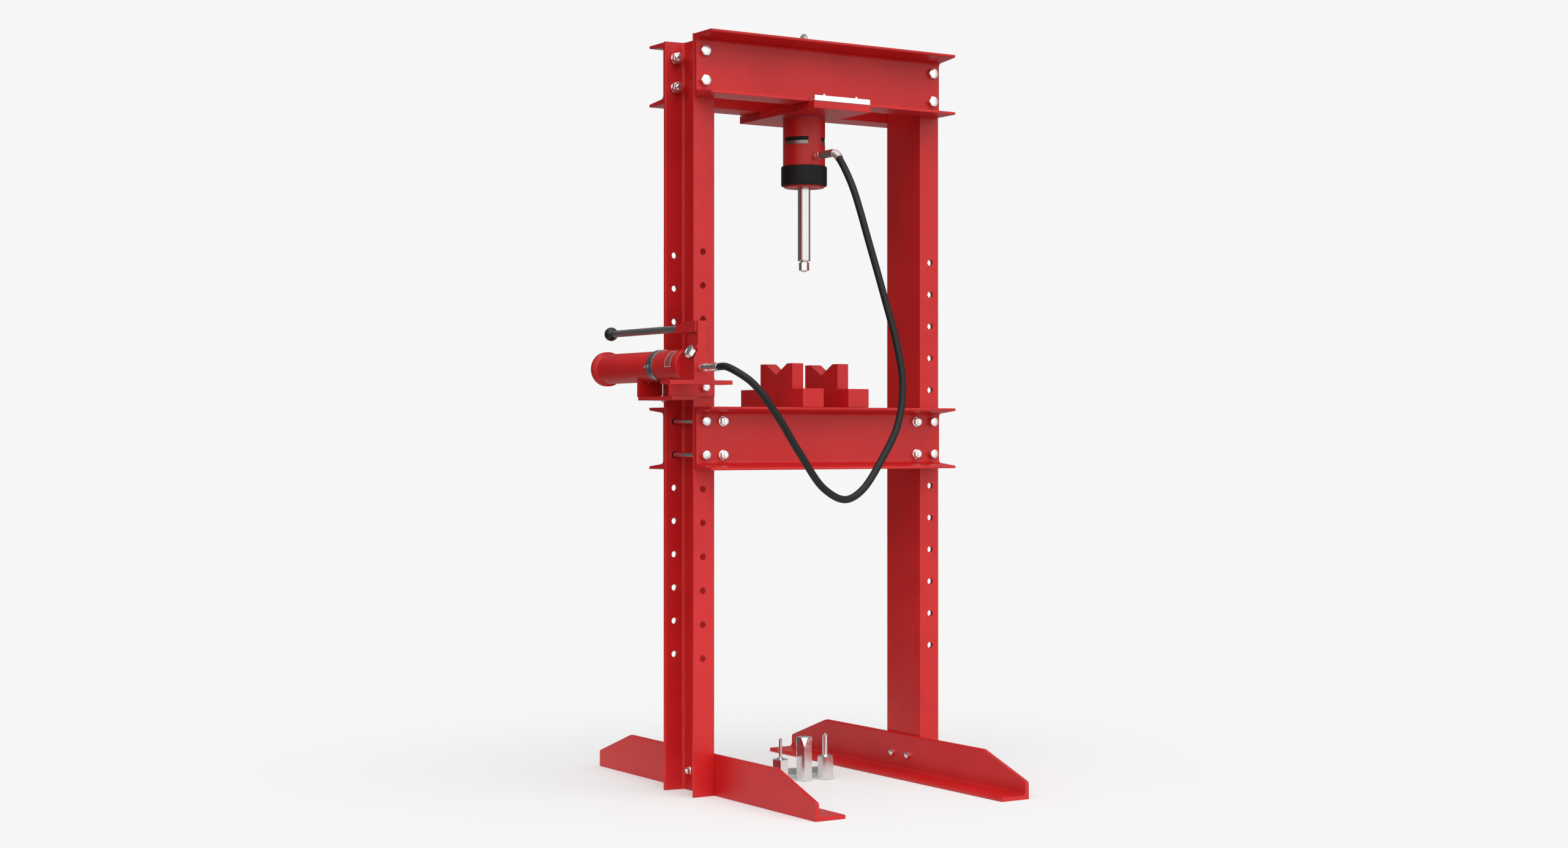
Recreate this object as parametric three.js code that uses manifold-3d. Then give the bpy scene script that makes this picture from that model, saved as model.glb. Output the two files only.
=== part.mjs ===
// A 30-ton class hydraulic shop press: an H-frame of hot-rolled channels, a sliding head with a
// single-acting ram, a hand pump on the left column, a hose between them, and loose table tools.
// Millimetres, +Z up. X runs along the beams and Y from front to rear. Every piece is drawn about
// the middle of the press on the floor, and the whole group is shifted along X at the end.
// Touching pieces keep a gap of GAP to each other.

import * as THREE from "three";
import { mergeVertices } from "three/addons/utils/BufferGeometryUtils.js";
import Module from "manifold-3d";

const wasm = await Module();
wasm.setup();

// ---------------------------------------------------------------- driving dimensions

const GAP = 0.3;
const HEIGHT = 1800;

// Columns: channels with the web towards the middle of the press and the flanges outward.
const COLUMN_WEB_X = 299;
const COLUMN_WIDTH = 57;
const COLUMN_DEPTH = 144;
const COLUMN_WEB = 6.5;
const COLUMN_TIP = 7;

// Beams: channels bolted to the front and rear of the columns, flanges outward.
const BEAM_HALF_LENGTH = 353;
const BEAM_HEIGHT = 149;
const BEAM_WIDTH = 76.5;
const BEAM_WEB = 7.5;
const BEAM_TIP = 6.6;
const BEAM_BACK_Y = COLUMN_DEPTH / 2 + GAP;
const TABLE_TOP = 919.5;
const FLANGE_SLOPE = 0.1;

// Facets: shanks share a side count with their holes, and round bodies with their bores.
const SHANK_SIDES = 8;
const ROUND_SIDES = 24;

// The hole ladder in the column flanges, on the gauge line of the flange.
const HOLE_X = 330.4;
const HOLE_FIRST_Z = 325.8;
const HOLE_PITCH = 80;
const HOLE_COUNT = 13;
const HOLE_RADIUS = 8;
const TABLE_PIN_STEPS = [6, 7];
const PUMP_BOLT_STEP = 8;

// Bolts and pins.
const FRAME_BOLT_RADIUS = 8;
const FRAME_BOLT_Z = [1689.4, 1759.7];
const PIN_RADIUS = 6;
const PIN_HEAD_RADIUS = 11.2;
const PIN_HEAD_LENGTH = 12;
const PIN_REAR_Y = 90;
const TIE_RADIUS = 6;
const TIE_X = 281;
const TIE_OVERHANG = 14;
const BRACKET_BOLT_RADIUS = 7.5;
const BRACKET_BOLT_HEAD_RADIUS = 10;
const BRACKET_BOLT_HEAD_LENGTH = 11.7;
const FOOT_BOLT_RADIUS = 5;
const FOOT_BOLT_Y = 33.6;
const FOOT_BOLT_Z = 47.5;

// Feet: angle irons along Y against the inner faces of the columns.
const FOOT_HALF_LENGTH = 509;
const FOOT_HEIGHT = 98.5;
const FOOT_END_HEIGHT = 40.6;
const FOOT_SLOPE_START = 343;
const FOOT_LEG = 80;
const FOOT_THICKNESS = 10;

// Head plate and cylinder, both centred on the press.
const PLATE_HALF_X = 81.6;
const PLATE_HALF_Y = 171.5;
const PLATE_THICKNESS = 17.7;
const PLATE_TOP = HEIGHT - BEAM_HEIGHT - GAP;
const BARREL_RADIUS = 52;
const BARREL_NECK_RADIUS = 45;
const BORE_RADIUS = 35;
const GLAND_BOTTOM = 1461;
const COLLAR_BOTTOM = 1465;
const COLLAR_TOP = 1513.5;
const COLLAR_RADIUS = 56.6;
const BARREL_BOTTOM = 1480;
const BARREL_TOP = 1790;
const BORE_TOP = 1757;
const GROOVE_BOTTOM = 1565;
const GROOVE_TOP = 1583;
const RING_TOP = 1573.7;
const RING_WALL_RADIUS = 48.5;
const WINDOW_FROM = 21;
const WINDOW_TO = 97;
const ROD_RADIUS = 15.5;
const ROD_BOTTOM = 1281;
const PISTON_BOTTOM = 1545;
const PISTON_TOP = 1585;
const TIP_BOTTOM = 1254;
const TIP_FLATS = 22;
const PORT_Z = 1534.7;

// Hand pump beside the left column, its axis along Y.
const PUMP_X = -397;
const PUMP_Z = 1015.6;
const RESERVOIR_RADIUS = 36.7;
const RESERVOIR_BORE = 33.5;
const RESERVOIR_REAR = 291;
const REAR_CAP_RADIUS = 42.5;
const PUMP_NOSE_RADIUS = 37.7;
const PUMP_BLOCK_REAR = -118;
const PUMP_BLOCK_FRONT = -180;
const PUMP_BLOCK_HALF = 20;
const POST_HALF = 10;
const POST_REAR = -134;
const POST_TOP = 1117;
const SHOULDER_BOTTOM = 1033;
const SHOULDER_TOP = 1050.3;
const VALVE_Y = -166;
const PUMP_FOOT_HALF = 83.3;
const PUMP_FOOT_BOTTOM = 970;
const BAND_FRONT = -11;
const BAND_REAR = 15;
const STUD_RADIUS = 2;
const STUD_Y = 2;
const BRACKET_LEFT = -425;
const BRACKET_RIGHT = -302;
const BRACKET_PLATE = 6.2;
const SHELF_FRONT = -91;
const SHELF_BOTTOM = 935.5;
const SHELF_TOP = 944;
const BRACKET_TOP = 987.7;
const LEVER_HALF = 14.6;
const LEVER_CHEEK = 4.3;
const LEVER_FRONT = -176;
const LEVER_REAR = -80;
const LEVER_SOLID_FRONT = -131;
const LEVER_BOTTOM = 1090.5;
const LEVER_TOP = 1116.5;
const LEVER_PIVOT_Y = -162;
const LEVER_PIVOT_Z = 1104;
const LEVER_PIN_RADIUS = 4;
const HANDLE_Z = 1101.5;
const HANDLE_RADIUS = 8.5;
const HANDLE_REAR = 262;
const BALL_RADIUS = 17;
const PLUNGER_Y = -127.8;
const PLUNGER_RADIUS = 5.5;
const PLUNGER_BOTTOM = 1003;
const PLUNGER_TOP = 1090;
const PUMP_PORT_X = -399.6;
const PUMP_PORT_Z = 1008.6;
const PUMP_FITTING_RADIUS = 10.4;
const PUMP_FITTING_END = -265;

// Hose: a route of hand-chosen points from the pump fitting to the elbow on the cylinder.
const HOSE_RADIUS = 8.5;
const HOSE_SIDES = 8;
const HOSE_STEPS = 40;
const HOSE_ROUTE = [
  [-399.6, -265.8, 1008.6],
  [-399, -292, 1008],
  [-390, -324, 996],
  [-362, -350, 969],
  [-311, -361, 905],
  [-242, -360, 809],
  [-176, -355, 731],
  [-114, -350, 704],
  [-62, -343, 724],
  [-1, -338, 797],
  [50, -331, 880],
  [70, -321, 974],
  [66, -303, 1066],
  [48, -277, 1180],
  [27, -244, 1310],
  [10, -203, 1440],
  [1, -176.4, 1494.4],
  [0, -156.8, 1517.9],
];

// Table tools and press pins.
const ARBOR_INNER_X = 35.4;
const ARBOR_WIDTH = 60;
const ARBOR_HALF_LENGTH = 143;
const ARBOR_HEIGHT = 45;
const VBLOCK_WIDTH = 32;
const VBLOCK_HALF_LENGTH = 73.5;
const VBLOCK_HEIGHT = 62;
const VBLOCK_NOTCH_HALF = 49;
const VBLOCK_NOTCH_DEPTH = 26.5;
const VBLOCK_X = [-65.3, 66];
const TOOL_FLATS = 37.5;
const TOOL_SHOULDER = 57;
const PUNCH_HEIGHT = 108;
const THIN_PIN_AT = [-55, 22];
const THICK_PIN_AT = [70, 11];
const PUNCH_AT = [11, 17];

// ---------------------------------------------------------------- materials

const RED = new THREE.MeshStandardMaterial({ color: 0xb01e1e, roughness: 0.35, metalness: 0 });
const STEEL = new THREE.MeshStandardMaterial({ color: 0x8c8c8c, roughness: 0.35, metalness: 1 });
const ZINC = new THREE.MeshStandardMaterial({ color: 0xd8d8d6, roughness: 0.3, metalness: 1 });
const CHROME = new THREE.MeshStandardMaterial({ color: 0xe0e0e0, roughness: 0.12, metalness: 1 });
const BLACK = new THREE.MeshStandardMaterial({ color: 0x141414, roughness: 0.4, metalness: 0 });
const RUBBER = new THREE.MeshStandardMaterial({ color: 0x1c1c1c, roughness: 0.6, metalness: 0 });

// ---------------------------------------------------------------- shape helpers

const X_AXIS = new THREE.Vector3(1, 0, 0);
const Y_AXIS = new THREE.Vector3(0, 1, 0);
const Z_AXIS = new THREE.Vector3(0, 0, 1);

function solid(geometry) {
  geometry.deleteAttribute("normal");
  geometry.deleteAttribute("uv");
  const merged = mergeVertices(geometry, 1e-4);
  return new wasm.Manifold(new wasm.Mesh({
    numProp: 3,
    vertProperties: new Float32Array(merged.attributes.position.array),
    triVerts: new Uint32Array(merged.index.array),
  }));
}

function union(parts) {
  return parts.reduce((whole, part) => whole.add(part));
}

function cut(body, tools) {
  return tools.reduce((rest, tool) => rest.subtract(tool), body);
}

function box(x0, x1, y0, y1, z0, z1) {
  const geometry = new THREE.BoxGeometry(x1 - x0, y1 - y0, z1 - z0);
  geometry.translate((x0 + x1) / 2, (y0 + y1) / 2, (z0 + z1) / 2);
  return solid(geometry);
}

// A round or polygonal bar from point `from` to point `to`.
function bar(radius, from, to, sides = 16, endRadius = radius) {
  const start = new THREE.Vector3(...from);
  const end = new THREE.Vector3(...to);
  const along = end.clone().sub(start);
  const geometry = new THREE.CylinderGeometry(endRadius, radius, along.length(), sides);
  geometry.translate(0, along.length() / 2, 0);
  geometry.applyQuaternion(new THREE.Quaternion().setFromUnitVectors(Y_AXIS, along.normalize()));
  geometry.translate(start.x, start.y, start.z);
  return solid(geometry);
}

// A hexagonal prism, sized across its flats.
function hexagon(flats, from, to) {
  return bar(flats / Math.sqrt(3), from, to, 6);
}

// A turned piece about the Z axis. The profile is a closed list of [radius, z].
function turned(profile) {
  const points = profile.map(([radius, z]) => new THREE.Vector2(radius, z));
  const geometry = new THREE.LatheGeometry([...points, points[0]], ROUND_SIDES);
  geometry.rotateX(Math.PI / 2);
  return solid(geometry);
}

// An outline in a plane, pushed `length` along the normal of the plane.
function extruded(shape, length, across, up, origin, curveSegments = 2) {
  const geometry = new THREE.ExtrudeGeometry(shape, { depth: length, bevelEnabled: false, curveSegments });
  const normal = across.clone().cross(up);
  geometry.applyMatrix4(new THREE.Matrix4().makeBasis(across, up, normal));
  geometry.translate(origin.x, origin.y, origin.z);
  return solid(geometry);
}

// The section of a hot-rolled channel: web along x = 0, flanges towards +x, tapered inside.
function channelSection(depth, width, web, tip) {
  const half = depth / 2;
  const root = tip + FLANGE_SLOPE * (width - web);
  const fillet = 9;
  const toe = 4;
  const shape = new THREE.Shape();
  shape.moveTo(0, -half);
  shape.lineTo(width, -half);
  shape.lineTo(width, -half + tip - toe);
  shape.quadraticCurveTo(width, -half + tip, width - toe, -half + tip + FLANGE_SLOPE * toe);
  shape.lineTo(web + fillet, -half + root - FLANGE_SLOPE * fillet);
  shape.quadraticCurveTo(web, -half + root, web, -half + root + fillet);
  shape.lineTo(web, half - root - fillet);
  shape.quadraticCurveTo(web, half - root, web + fillet, half - root + FLANGE_SLOPE * fillet);
  shape.lineTo(width - toe, half - tip - FLANGE_SLOPE * toe);
  shape.quadraticCurveTo(width, half - tip, width, half - tip + toe);
  shape.lineTo(width, half);
  shape.lineTo(0, half);
  shape.closePath();
  return shape;
}

// ---------------------------------------------------------------- assembly list

const press = new THREE.Group();

function addMesh(name, body, material) {
  const { vertProperties, triVerts, numProp } = body.getMesh();
  const positions = new Float32Array((vertProperties.length / numProp) * 3);
  for (let vertex = 0; vertex < vertProperties.length / numProp; vertex += 1) {
    positions.set(vertProperties.subarray(vertex * numProp, vertex * numProp + 3), vertex * 3);
  }
  const geometry = new THREE.BufferGeometry();
  geometry.setAttribute("position", new THREE.BufferAttribute(positions, 3));
  geometry.setIndex(new THREE.BufferAttribute(new Uint32Array(triVerts), 1));
  geometry.computeVertexNormals();
  const mesh = new THREE.Mesh(geometry, material);
  mesh.name = name;
  press.add(mesh);
}

const SIDES = [["left", -1], ["right", 1]];
const FACES = [["front", -1], ["rear", 1]];
const holeZ = (step) => HOLE_FIRST_Z + HOLE_PITCH * step;
const tablePinZ = TABLE_PIN_STEPS.map(holeZ);

// ---------------------------------------------------------------- frame

function crossHole(x, z, radius) {
  const reach = BEAM_BACK_Y + BEAM_WIDTH + 10;
  return bar(radius, [x, -reach, z], [x, reach, z], SHANK_SIDES);
}

function column(side) {
  const section = channelSection(COLUMN_DEPTH, COLUMN_WIDTH, COLUMN_WEB, COLUMN_TIP);
  const across = X_AXIS.clone().multiplyScalar(side);
  const up = Y_AXIS.clone().multiplyScalar(side);
  const body = extruded(section, HEIGHT, across, up, new THREE.Vector3(side * COLUMN_WEB_X, 0, 0));
  const holes = [];
  for (let step = 0; step < HOLE_COUNT; step += 1) {
    holes.push(crossHole(side * HOLE_X, holeZ(step), HOLE_RADIUS));
  }
  for (const z of FRAME_BOLT_Z) {
    holes.push(crossHole(side * HOLE_X, z, FRAME_BOLT_RADIUS + GAP));
  }
  for (const y of [-FOOT_BOLT_Y, FOOT_BOLT_Y]) {
    holes.push(footBoltHole(side, y));
  }
  return cut(body, holes);
}

function beam(face, z0, holes) {
  const section = channelSection(BEAM_HEIGHT, BEAM_WIDTH, BEAM_WEB, BEAM_TIP);
  const across = Y_AXIS.clone().multiplyScalar(face);
  const origin = new THREE.Vector3(-face * BEAM_HALF_LENGTH, face * BEAM_BACK_Y, z0 + BEAM_HEIGHT / 2);
  return cut(extruded(section, 2 * BEAM_HALF_LENGTH, across, Z_AXIS, origin), holes);
}

function footBoltHole(side, y) {
  const inner = [side * (COLUMN_WEB_X - 40), y, FOOT_BOLT_Z];
  const outer = [side * (COLUMN_WEB_X + 30), y, FOOT_BOLT_Z];
  return bar(FOOT_BOLT_RADIUS + GAP, inner, outer, SHANK_SIDES);
}

function foot(side) {
  const outer = COLUMN_WEB_X - GAP;
  const profile = new THREE.Shape();
  profile.moveTo(-FOOT_HALF_LENGTH, 0);
  profile.lineTo(FOOT_HALF_LENGTH, 0);
  profile.lineTo(FOOT_HALF_LENGTH, FOOT_END_HEIGHT);
  profile.lineTo(FOOT_SLOPE_START, FOOT_HEIGHT);
  profile.lineTo(-FOOT_SLOPE_START, FOOT_HEIGHT);
  profile.lineTo(-FOOT_HALF_LENGTH, FOOT_END_HEIGHT);
  profile.closePath();
  const wallX = side > 0 ? outer - FOOT_THICKNESS : -outer;
  const wall = extruded(profile, FOOT_THICKNESS, Y_AXIS, Z_AXIS, new THREE.Vector3(wallX, 0, 0));
  const soleX = [side * outer, side * (outer - FOOT_LEG)].sort((a, b) => a - b);
  const sole = box(soleX[0], soleX[1], -FOOT_HALF_LENGTH, FOOT_HALF_LENGTH, 0, FOOT_THICKNESS);
  const fillet = new THREE.Shape();
  const root = 9;
  fillet.moveTo(-1, -1);
  fillet.lineTo(root, -1);
  fillet.lineTo(root, 0);
  fillet.quadraticCurveTo(0, 0, 0, root);
  fillet.lineTo(-1, root);
  fillet.closePath();
  const across = X_AXIS.clone().multiplyScalar(-side);
  const corner = new THREE.Vector3(
    side * (outer - FOOT_THICKNESS), -side * FOOT_HALF_LENGTH, FOOT_THICKNESS);
  const seam = extruded(fillet, 2 * FOOT_HALF_LENGTH, across, Z_AXIS, corner);
  const holes = [footBoltHole(side, -FOOT_BOLT_Y), footBoltHole(side, FOOT_BOLT_Y)];
  return cut(union([wall, sole, seam]), holes);
}

const topHoles = [];
const tableHoles = [];
for (const [, side] of SIDES) {
  for (const z of FRAME_BOLT_Z) {
    topHoles.push(crossHole(side * HOLE_X, z, FRAME_BOLT_RADIUS + GAP));
  }
  for (const z of tablePinZ) {
    tableHoles.push(crossHole(side * HOLE_X, z, PIN_RADIUS + 1));
    tableHoles.push(crossHole(side * TIE_X, z, TIE_RADIUS + GAP));
  }
}

for (const [name, side] of SIDES) {
  addMesh(`column_${name}`, column(side), RED);
  addMesh(`foot_${name}`, foot(side), RED);
}
for (const [name, face] of FACES) {
  addMesh(`top_beam_${name}`, beam(face, HEIGHT - BEAM_HEIGHT, topHoles), RED);
  addMesh(`table_beam_${name}`, beam(face, TABLE_TOP - BEAM_HEIGHT, tableHoles), RED);
}

// ---------------------------------------------------------------- frame fasteners

const WEB_FACE_Y = BEAM_BACK_Y + BEAM_WEB;
function flangeInnerY(x) {
  const fromTip = COLUMN_WEB_X + COLUMN_WIDTH - Math.abs(x);
  return COLUMN_DEPTH / 2 - COLUMN_TIP - FLANGE_SLOPE * fromTip;
}

// A hex bolt through a beam web and a column flange, with a taper washer and a nut inside.
function frameBolt(x, z, face) {
  const at = (y) => [x, face * y, z];
  const head = WEB_FACE_Y + GAP;
  const inner = flangeInnerY(Math.abs(x) - 14) - 2.2;
  return union([
    hexagon(24, at(head), at(head + 10)),
    bar(FRAME_BOLT_RADIUS, at(head + 1), at(inner - 22), SHANK_SIDES),
    bar(13.5, at(inner), at(inner - 3), 12),
    hexagon(24, at(inner - 2.5), at(inner - 16)),
  ]);
}

// A table pin: a plain shank with a round head at the front and a tapered end at the rear.
function tablePin(x, z) {
  const head = -(WEB_FACE_Y + GAP);
  return union([
    bar(PIN_HEAD_RADIUS, [x, head, z], [x, head - PIN_HEAD_LENGTH, z], 16),
    bar(PIN_RADIUS, [x, head - 1, z], [x, PIN_REAR_Y - 3, z], SHANK_SIDES),
    bar(PIN_RADIUS, [x, PIN_REAR_Y - 3.1, z], [x, PIN_REAR_Y, z], SHANK_SIDES, PIN_RADIUS - 2),
  ]);
}

// A tie bolt that clamps both table beams on a spacer tube.
function tieBolt(x, z) {
  const outer = WEB_FACE_Y + GAP;
  const inner = BEAM_BACK_Y - GAP;
  const parts = [
    bar(TIE_RADIUS, [x, -outer - TIE_OVERHANG, z], [x, outer + TIE_OVERHANG, z], SHANK_SIDES),
    bar(10, [x, -inner, z], [x, inner, z], SHANK_SIDES),
  ];
  for (const [, face] of FACES) {
    parts.push(bar(12, [x, face * outer, z], [x, face * (outer + 2.5), z], 12));
    parts.push(hexagon(19, [x, face * (outer + 2), z], [x, face * (outer + 12.5), z]));
  }
  return union(parts);
}

// A hex bolt through the foot and the column web, with its nut in the channel.
function footBolt(side, y) {
  const at = (x) => [side * x, y, FOOT_BOLT_Z];
  const inner = COLUMN_WEB_X - GAP - FOOT_THICKNESS - GAP;
  const outer = COLUMN_WEB_X + COLUMN_WEB + GAP;
  return union([
    hexagon(16, at(inner), at(inner - 6.5)),
    bar(FOOT_BOLT_RADIUS, at(inner - 1), at(outer + 13), SHANK_SIDES),
    bar(10, at(outer), at(outer + 2), 12),
    hexagon(16, at(outer + 1.5), at(outer + 10)),
  ]);
}

for (const [sideName, side] of SIDES) {
  const holeX = side * HOLE_X;
  const tieX = side * TIE_X;
  for (const [faceName, face] of FACES) {
    ["lower", "upper"].forEach((level, index) => {
      const bolt = frameBolt(holeX, FRAME_BOLT_Z[index], face);
      addMesh(`frame_bolt_${sideName}_${faceName}_${level}`, bolt, ZINC);
    });
    addMesh(`foot_bolt_${sideName}_${faceName}`, footBolt(side, face * FOOT_BOLT_Y), ZINC);
  }
  ["lower", "upper"].forEach((level, index) => {
    addMesh(`table_pin_${sideName}_${level}`, tablePin(holeX, tablePinZ[index]), ZINC);
    addMesh(`tie_bolt_${sideName}_${level}`, tieBolt(tieX, tablePinZ[index]), ZINC);
  });
}

// ---------------------------------------------------------------- sliding head

const PLATE_BOTTOM = PLATE_TOP - PLATE_THICKNESS;

function headPlate() {
  const plate = box(-PLATE_HALF_X, PLATE_HALF_X, -PLATE_HALF_Y, PLATE_HALF_Y, PLATE_BOTTOM, PLATE_TOP);
  return cut(plate, [
    bar(BARREL_NECK_RADIUS + GAP, [0, 0, PLATE_BOTTOM - 1], [0, 0, PLATE_TOP + 1], ROUND_SIDES),
  ]);
}

// A guide bar on the plate, hooked over the toe of the beam's lower flange, with two screws.
function guideBar(face) {
  const bottom = PLATE_TOP + GAP;
  const top = bottom + 13.2;
  const toe = BEAM_BACK_Y + BEAM_WIDTH + 0.7;
  const span = (from, to) => [face * from, face * to].sort((a, b) => a - b);
  const parts = [
    box(-80, 80, ...span(toe, PLATE_HALF_Y), bottom, top),
    box(-80, 80, ...span(toe - 8, toe + 1), top - 4.5, top),
  ];
  for (const x of [-46.5, 46.5]) {
    parts.push(hexagon(9, [x, face * 160, top - 1], [x, face * 160, top + 5]));
  }
  return union(parts);
}

function barrel() {
  const body = turned([
    [BORE_RADIUS, BARREL_BOTTOM],
    [BARREL_RADIUS, BARREL_BOTTOM],
    [BARREL_RADIUS, PLATE_BOTTOM - GAP],
    [BARREL_NECK_RADIUS, PLATE_BOTTOM - GAP],
    [BARREL_NECK_RADIUS, BARREL_TOP],
    [BORE_RADIUS, BARREL_TOP],
  ]);
  const groove = turned([
    [BARREL_NECK_RADIUS, GROOVE_BOTTOM],
    [RING_WALL_RADIUS, GROOVE_BOTTOM],
    [RING_WALL_RADIUS, GROOVE_TOP],
    [BARREL_NECK_RADIUS, GROOVE_TOP],
  ]);
  const drilling = [
    bar(5, [0, -BARREL_RADIUS - 2, PORT_Z], [0, -40, PORT_Z], 8),
    bar(3, [0, -40, PORT_Z - 4], [0, -40, BORE_TOP - 6], 8),
    bar(3, [0, -42, BORE_TOP - 9], [0, -30, BORE_TOP - 9], 8),
  ];
  const outer = BARREL_RADIUS + 1;
  const windows = SIDES.map(([, side]) => barrelWindow(side, outer, GROOVE_BOTTOM, GROOVE_TOP, 0));
  return cut(body, [groove, ...windows, ...drilling]);
}

// A sector of a ring beside the front of the barrel, `trim` short of the window at both ends.
function barrelWindow(side, outer, bottom, top, trim) {
  const shape = new THREE.Shape();
  const inner = RING_WALL_RADIUS - 1;
  const steps = 10;
  const margin = THREE.MathUtils.radToDeg(trim / BARREL_RADIUS);
  const angleAt = (step) => {
    const share = step / steps;
    const turn = (WINDOW_FROM + margin) * (1 - share) + (WINDOW_TO - margin) * share;
    return THREE.MathUtils.degToRad(-90 + side * turn);
  };
  for (let step = 0; step <= steps; step += 1) {
    const angle = angleAt(step);
    const point = [outer * Math.cos(angle), outer * Math.sin(angle)];
    if (step === 0) {
      shape.moveTo(...point);
    } else {
      shape.lineTo(...point);
    }
  }
  for (let step = steps; step >= 0; step -= 1) {
    const angle = angleAt(step);
    shape.lineTo(inner * Math.cos(angle), inner * Math.sin(angle));
  }
  shape.closePath();
  return extruded(shape, top - bottom, X_AXIS, Y_AXIS, new THREE.Vector3(0, 0, bottom));
}

// The ring sits in the groove behind the wall and stands out through the two windows.
function retainingRing() {
  const inner = BARREL_NECK_RADIUS + GAP;
  const wall = RING_WALL_RADIUS - GAP;
  const bottom = GROOVE_BOTTOM + GAP;
  const ring = turned([[inner, bottom], [wall, bottom], [wall, RING_TOP], [inner, RING_TOP]]);
  const steps = SIDES.map(([, side]) => barrelWindow(side, BARREL_RADIUS - 0.4, bottom, RING_TOP, 0.6));
  return union([ring, ...steps]);
}

function collar() {
  const inner = BARREL_RADIUS + GAP;
  const round = 3;
  return turned([
    [inner, COLLAR_BOTTOM],
    [COLLAR_RADIUS - round, COLLAR_BOTTOM],
    [COLLAR_RADIUS, COLLAR_BOTTOM + round],
    [COLLAR_RADIUS, COLLAR_TOP - round],
    [COLLAR_RADIUS - round, COLLAR_TOP],
    [inner, COLLAR_TOP],
  ]);
}

function gland() {
  return turned([
    [ROD_RADIUS + GAP, GLAND_BOTTOM],
    [48.5, GLAND_BOTTOM],
    [50.5, GLAND_BOTTOM + 2],
    [50.5, COLLAR_BOTTOM + 2],
    [BARREL_RADIUS, COLLAR_BOTTOM + 2],
    [BARREL_RADIUS, BARREL_BOTTOM - GAP],
    [ROD_RADIUS + GAP, BARREL_BOTTOM - GAP],
  ]);
}

function topCap() {
  const stud = 6;
  return union([
    turned([
      [0, BORE_TOP],
      [BORE_RADIUS - GAP, BORE_TOP],
      [BORE_RADIUS - GAP, BARREL_TOP + GAP],
      [BARREL_NECK_RADIUS, BARREL_TOP + GAP],
      [BARREL_NECK_RADIUS, BARREL_TOP + 12],
      [12, BARREL_TOP + 12],
      [12, BARREL_TOP + 36],
      [stud, BARREL_TOP + 36],
      [stud, BARREL_TOP + 51],
      [0, BARREL_TOP + 51],
    ]),
    hexagon(19, [0, 0, BARREL_TOP + 35], [0, 0, BARREL_TOP + 46]),
  ]);
}

// The rod and its piston, turned from one bar.
function ram() {
  const piston = BORE_RADIUS - GAP;
  return turned([
    [0, ROD_BOTTOM],
    [ROD_RADIUS - 1.5, ROD_BOTTOM],
    [ROD_RADIUS, ROD_BOTTOM + 2],
    [ROD_RADIUS, PISTON_BOTTOM],
    [piston, PISTON_BOTTOM],
    [piston, PISTON_BOTTOM + 14],
    [piston - 3, PISTON_BOTTOM + 14],
    [piston - 3, PISTON_BOTTOM + 22],
    [piston, PISTON_BOTTOM + 22],
    [piston, PISTON_TOP],
    [0, PISTON_TOP],
  ]);
}

function ramTip() {
  const shoulder = TIP_BOTTOM + 4.2;
  const corner = TIP_FLATS / Math.sqrt(3);
  return union([
    bar(2.2, [0, 0, TIP_BOTTOM], [0, 0, shoulder], 6, corner),
    hexagon(TIP_FLATS, [0, 0, shoulder - 0.01], [0, 0, ROD_BOTTOM - 3]),
    bar(9, [0, 0, ROD_BOTTOM - 4], [0, 0, ROD_BOTTOM - GAP], 12),
  ]);
}

function discShape(radius, sides) {
  const shape = new THREE.Shape();
  for (let corner = 0; corner < sides; corner += 1) {
    const angle = (2 * Math.PI * corner) / sides;
    const point = [radius * Math.cos(angle), radius * Math.sin(angle)];
    if (corner === 0) {
      shape.moveTo(...point);
    } else {
      shape.lineTo(...point);
    }
  }
  shape.closePath();
  return shape;
}

function swept(path, radius, sides, steps) {
  return solid(new THREE.ExtrudeGeometry(discShape(radius, sides), { steps, extrudePath: path }));
}

// The bent tube of a hose end: straight out of the port, then down in an arc.
class Elbow extends THREE.Curve {
  constructor(start, straight, radius, turn) {
    super();
    Object.assign(this, { start, straight, radius, turn, total: straight + radius * turn });
  }

  getPoint(t) {
    const along = t * this.total;
    const angle = Math.max(0, along - this.straight) / this.radius;
    const forward = Math.min(along, this.straight) + this.radius * Math.sin(angle);
    const down = this.radius * (1 - Math.cos(angle));
    return new THREE.Vector3(0, this.start - forward, PORT_Z - down);
  }
}

const ELBOW_START = -BARREL_RADIUS - GAP;
const ELBOW_RADIUS = 44;
const ELBOW_TURN = THREE.MathUtils.degToRad(50);
const ELBOW_STRAIGHT = 70;

function elbowFitting() {
  const at = (y) => [0, y, PORT_Z];
  return union([
    bar(8, at(ELBOW_START), at(ELBOW_START - 10), 16),
    hexagon(16, at(ELBOW_START - 9), at(ELBOW_START - 21)),
    bar(7, at(ELBOW_START - 20), at(ELBOW_START - 24), 12),
    swept(new Elbow(ELBOW_START - 19, ELBOW_STRAIGHT - 19, ELBOW_RADIUS, ELBOW_TURN), 10.2, 12, 8),
  ]);
}

addMesh("head_plate", headPlate(), RED);
for (const [name, face] of FACES) {
  addMesh(`guide_bar_${name}`, guideBar(face), STEEL);
}
addMesh("cylinder_barrel", barrel(), RED);
addMesh("cylinder_cap", topCap(), STEEL);
addMesh("retaining_ring", retainingRing(), STEEL);
addMesh("cylinder_collar", collar(), BLACK);
addMesh("rod_gland", gland(), RED);
addMesh("ram", ram(), CHROME);
addMesh("ram_tip", ramTip(), STEEL);
addMesh("cylinder_elbow", elbowFitting(), ZINC);

// ---------------------------------------------------------------- hand pump

const TIP_X = -(COLUMN_WEB_X + COLUMN_WIDTH);

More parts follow.
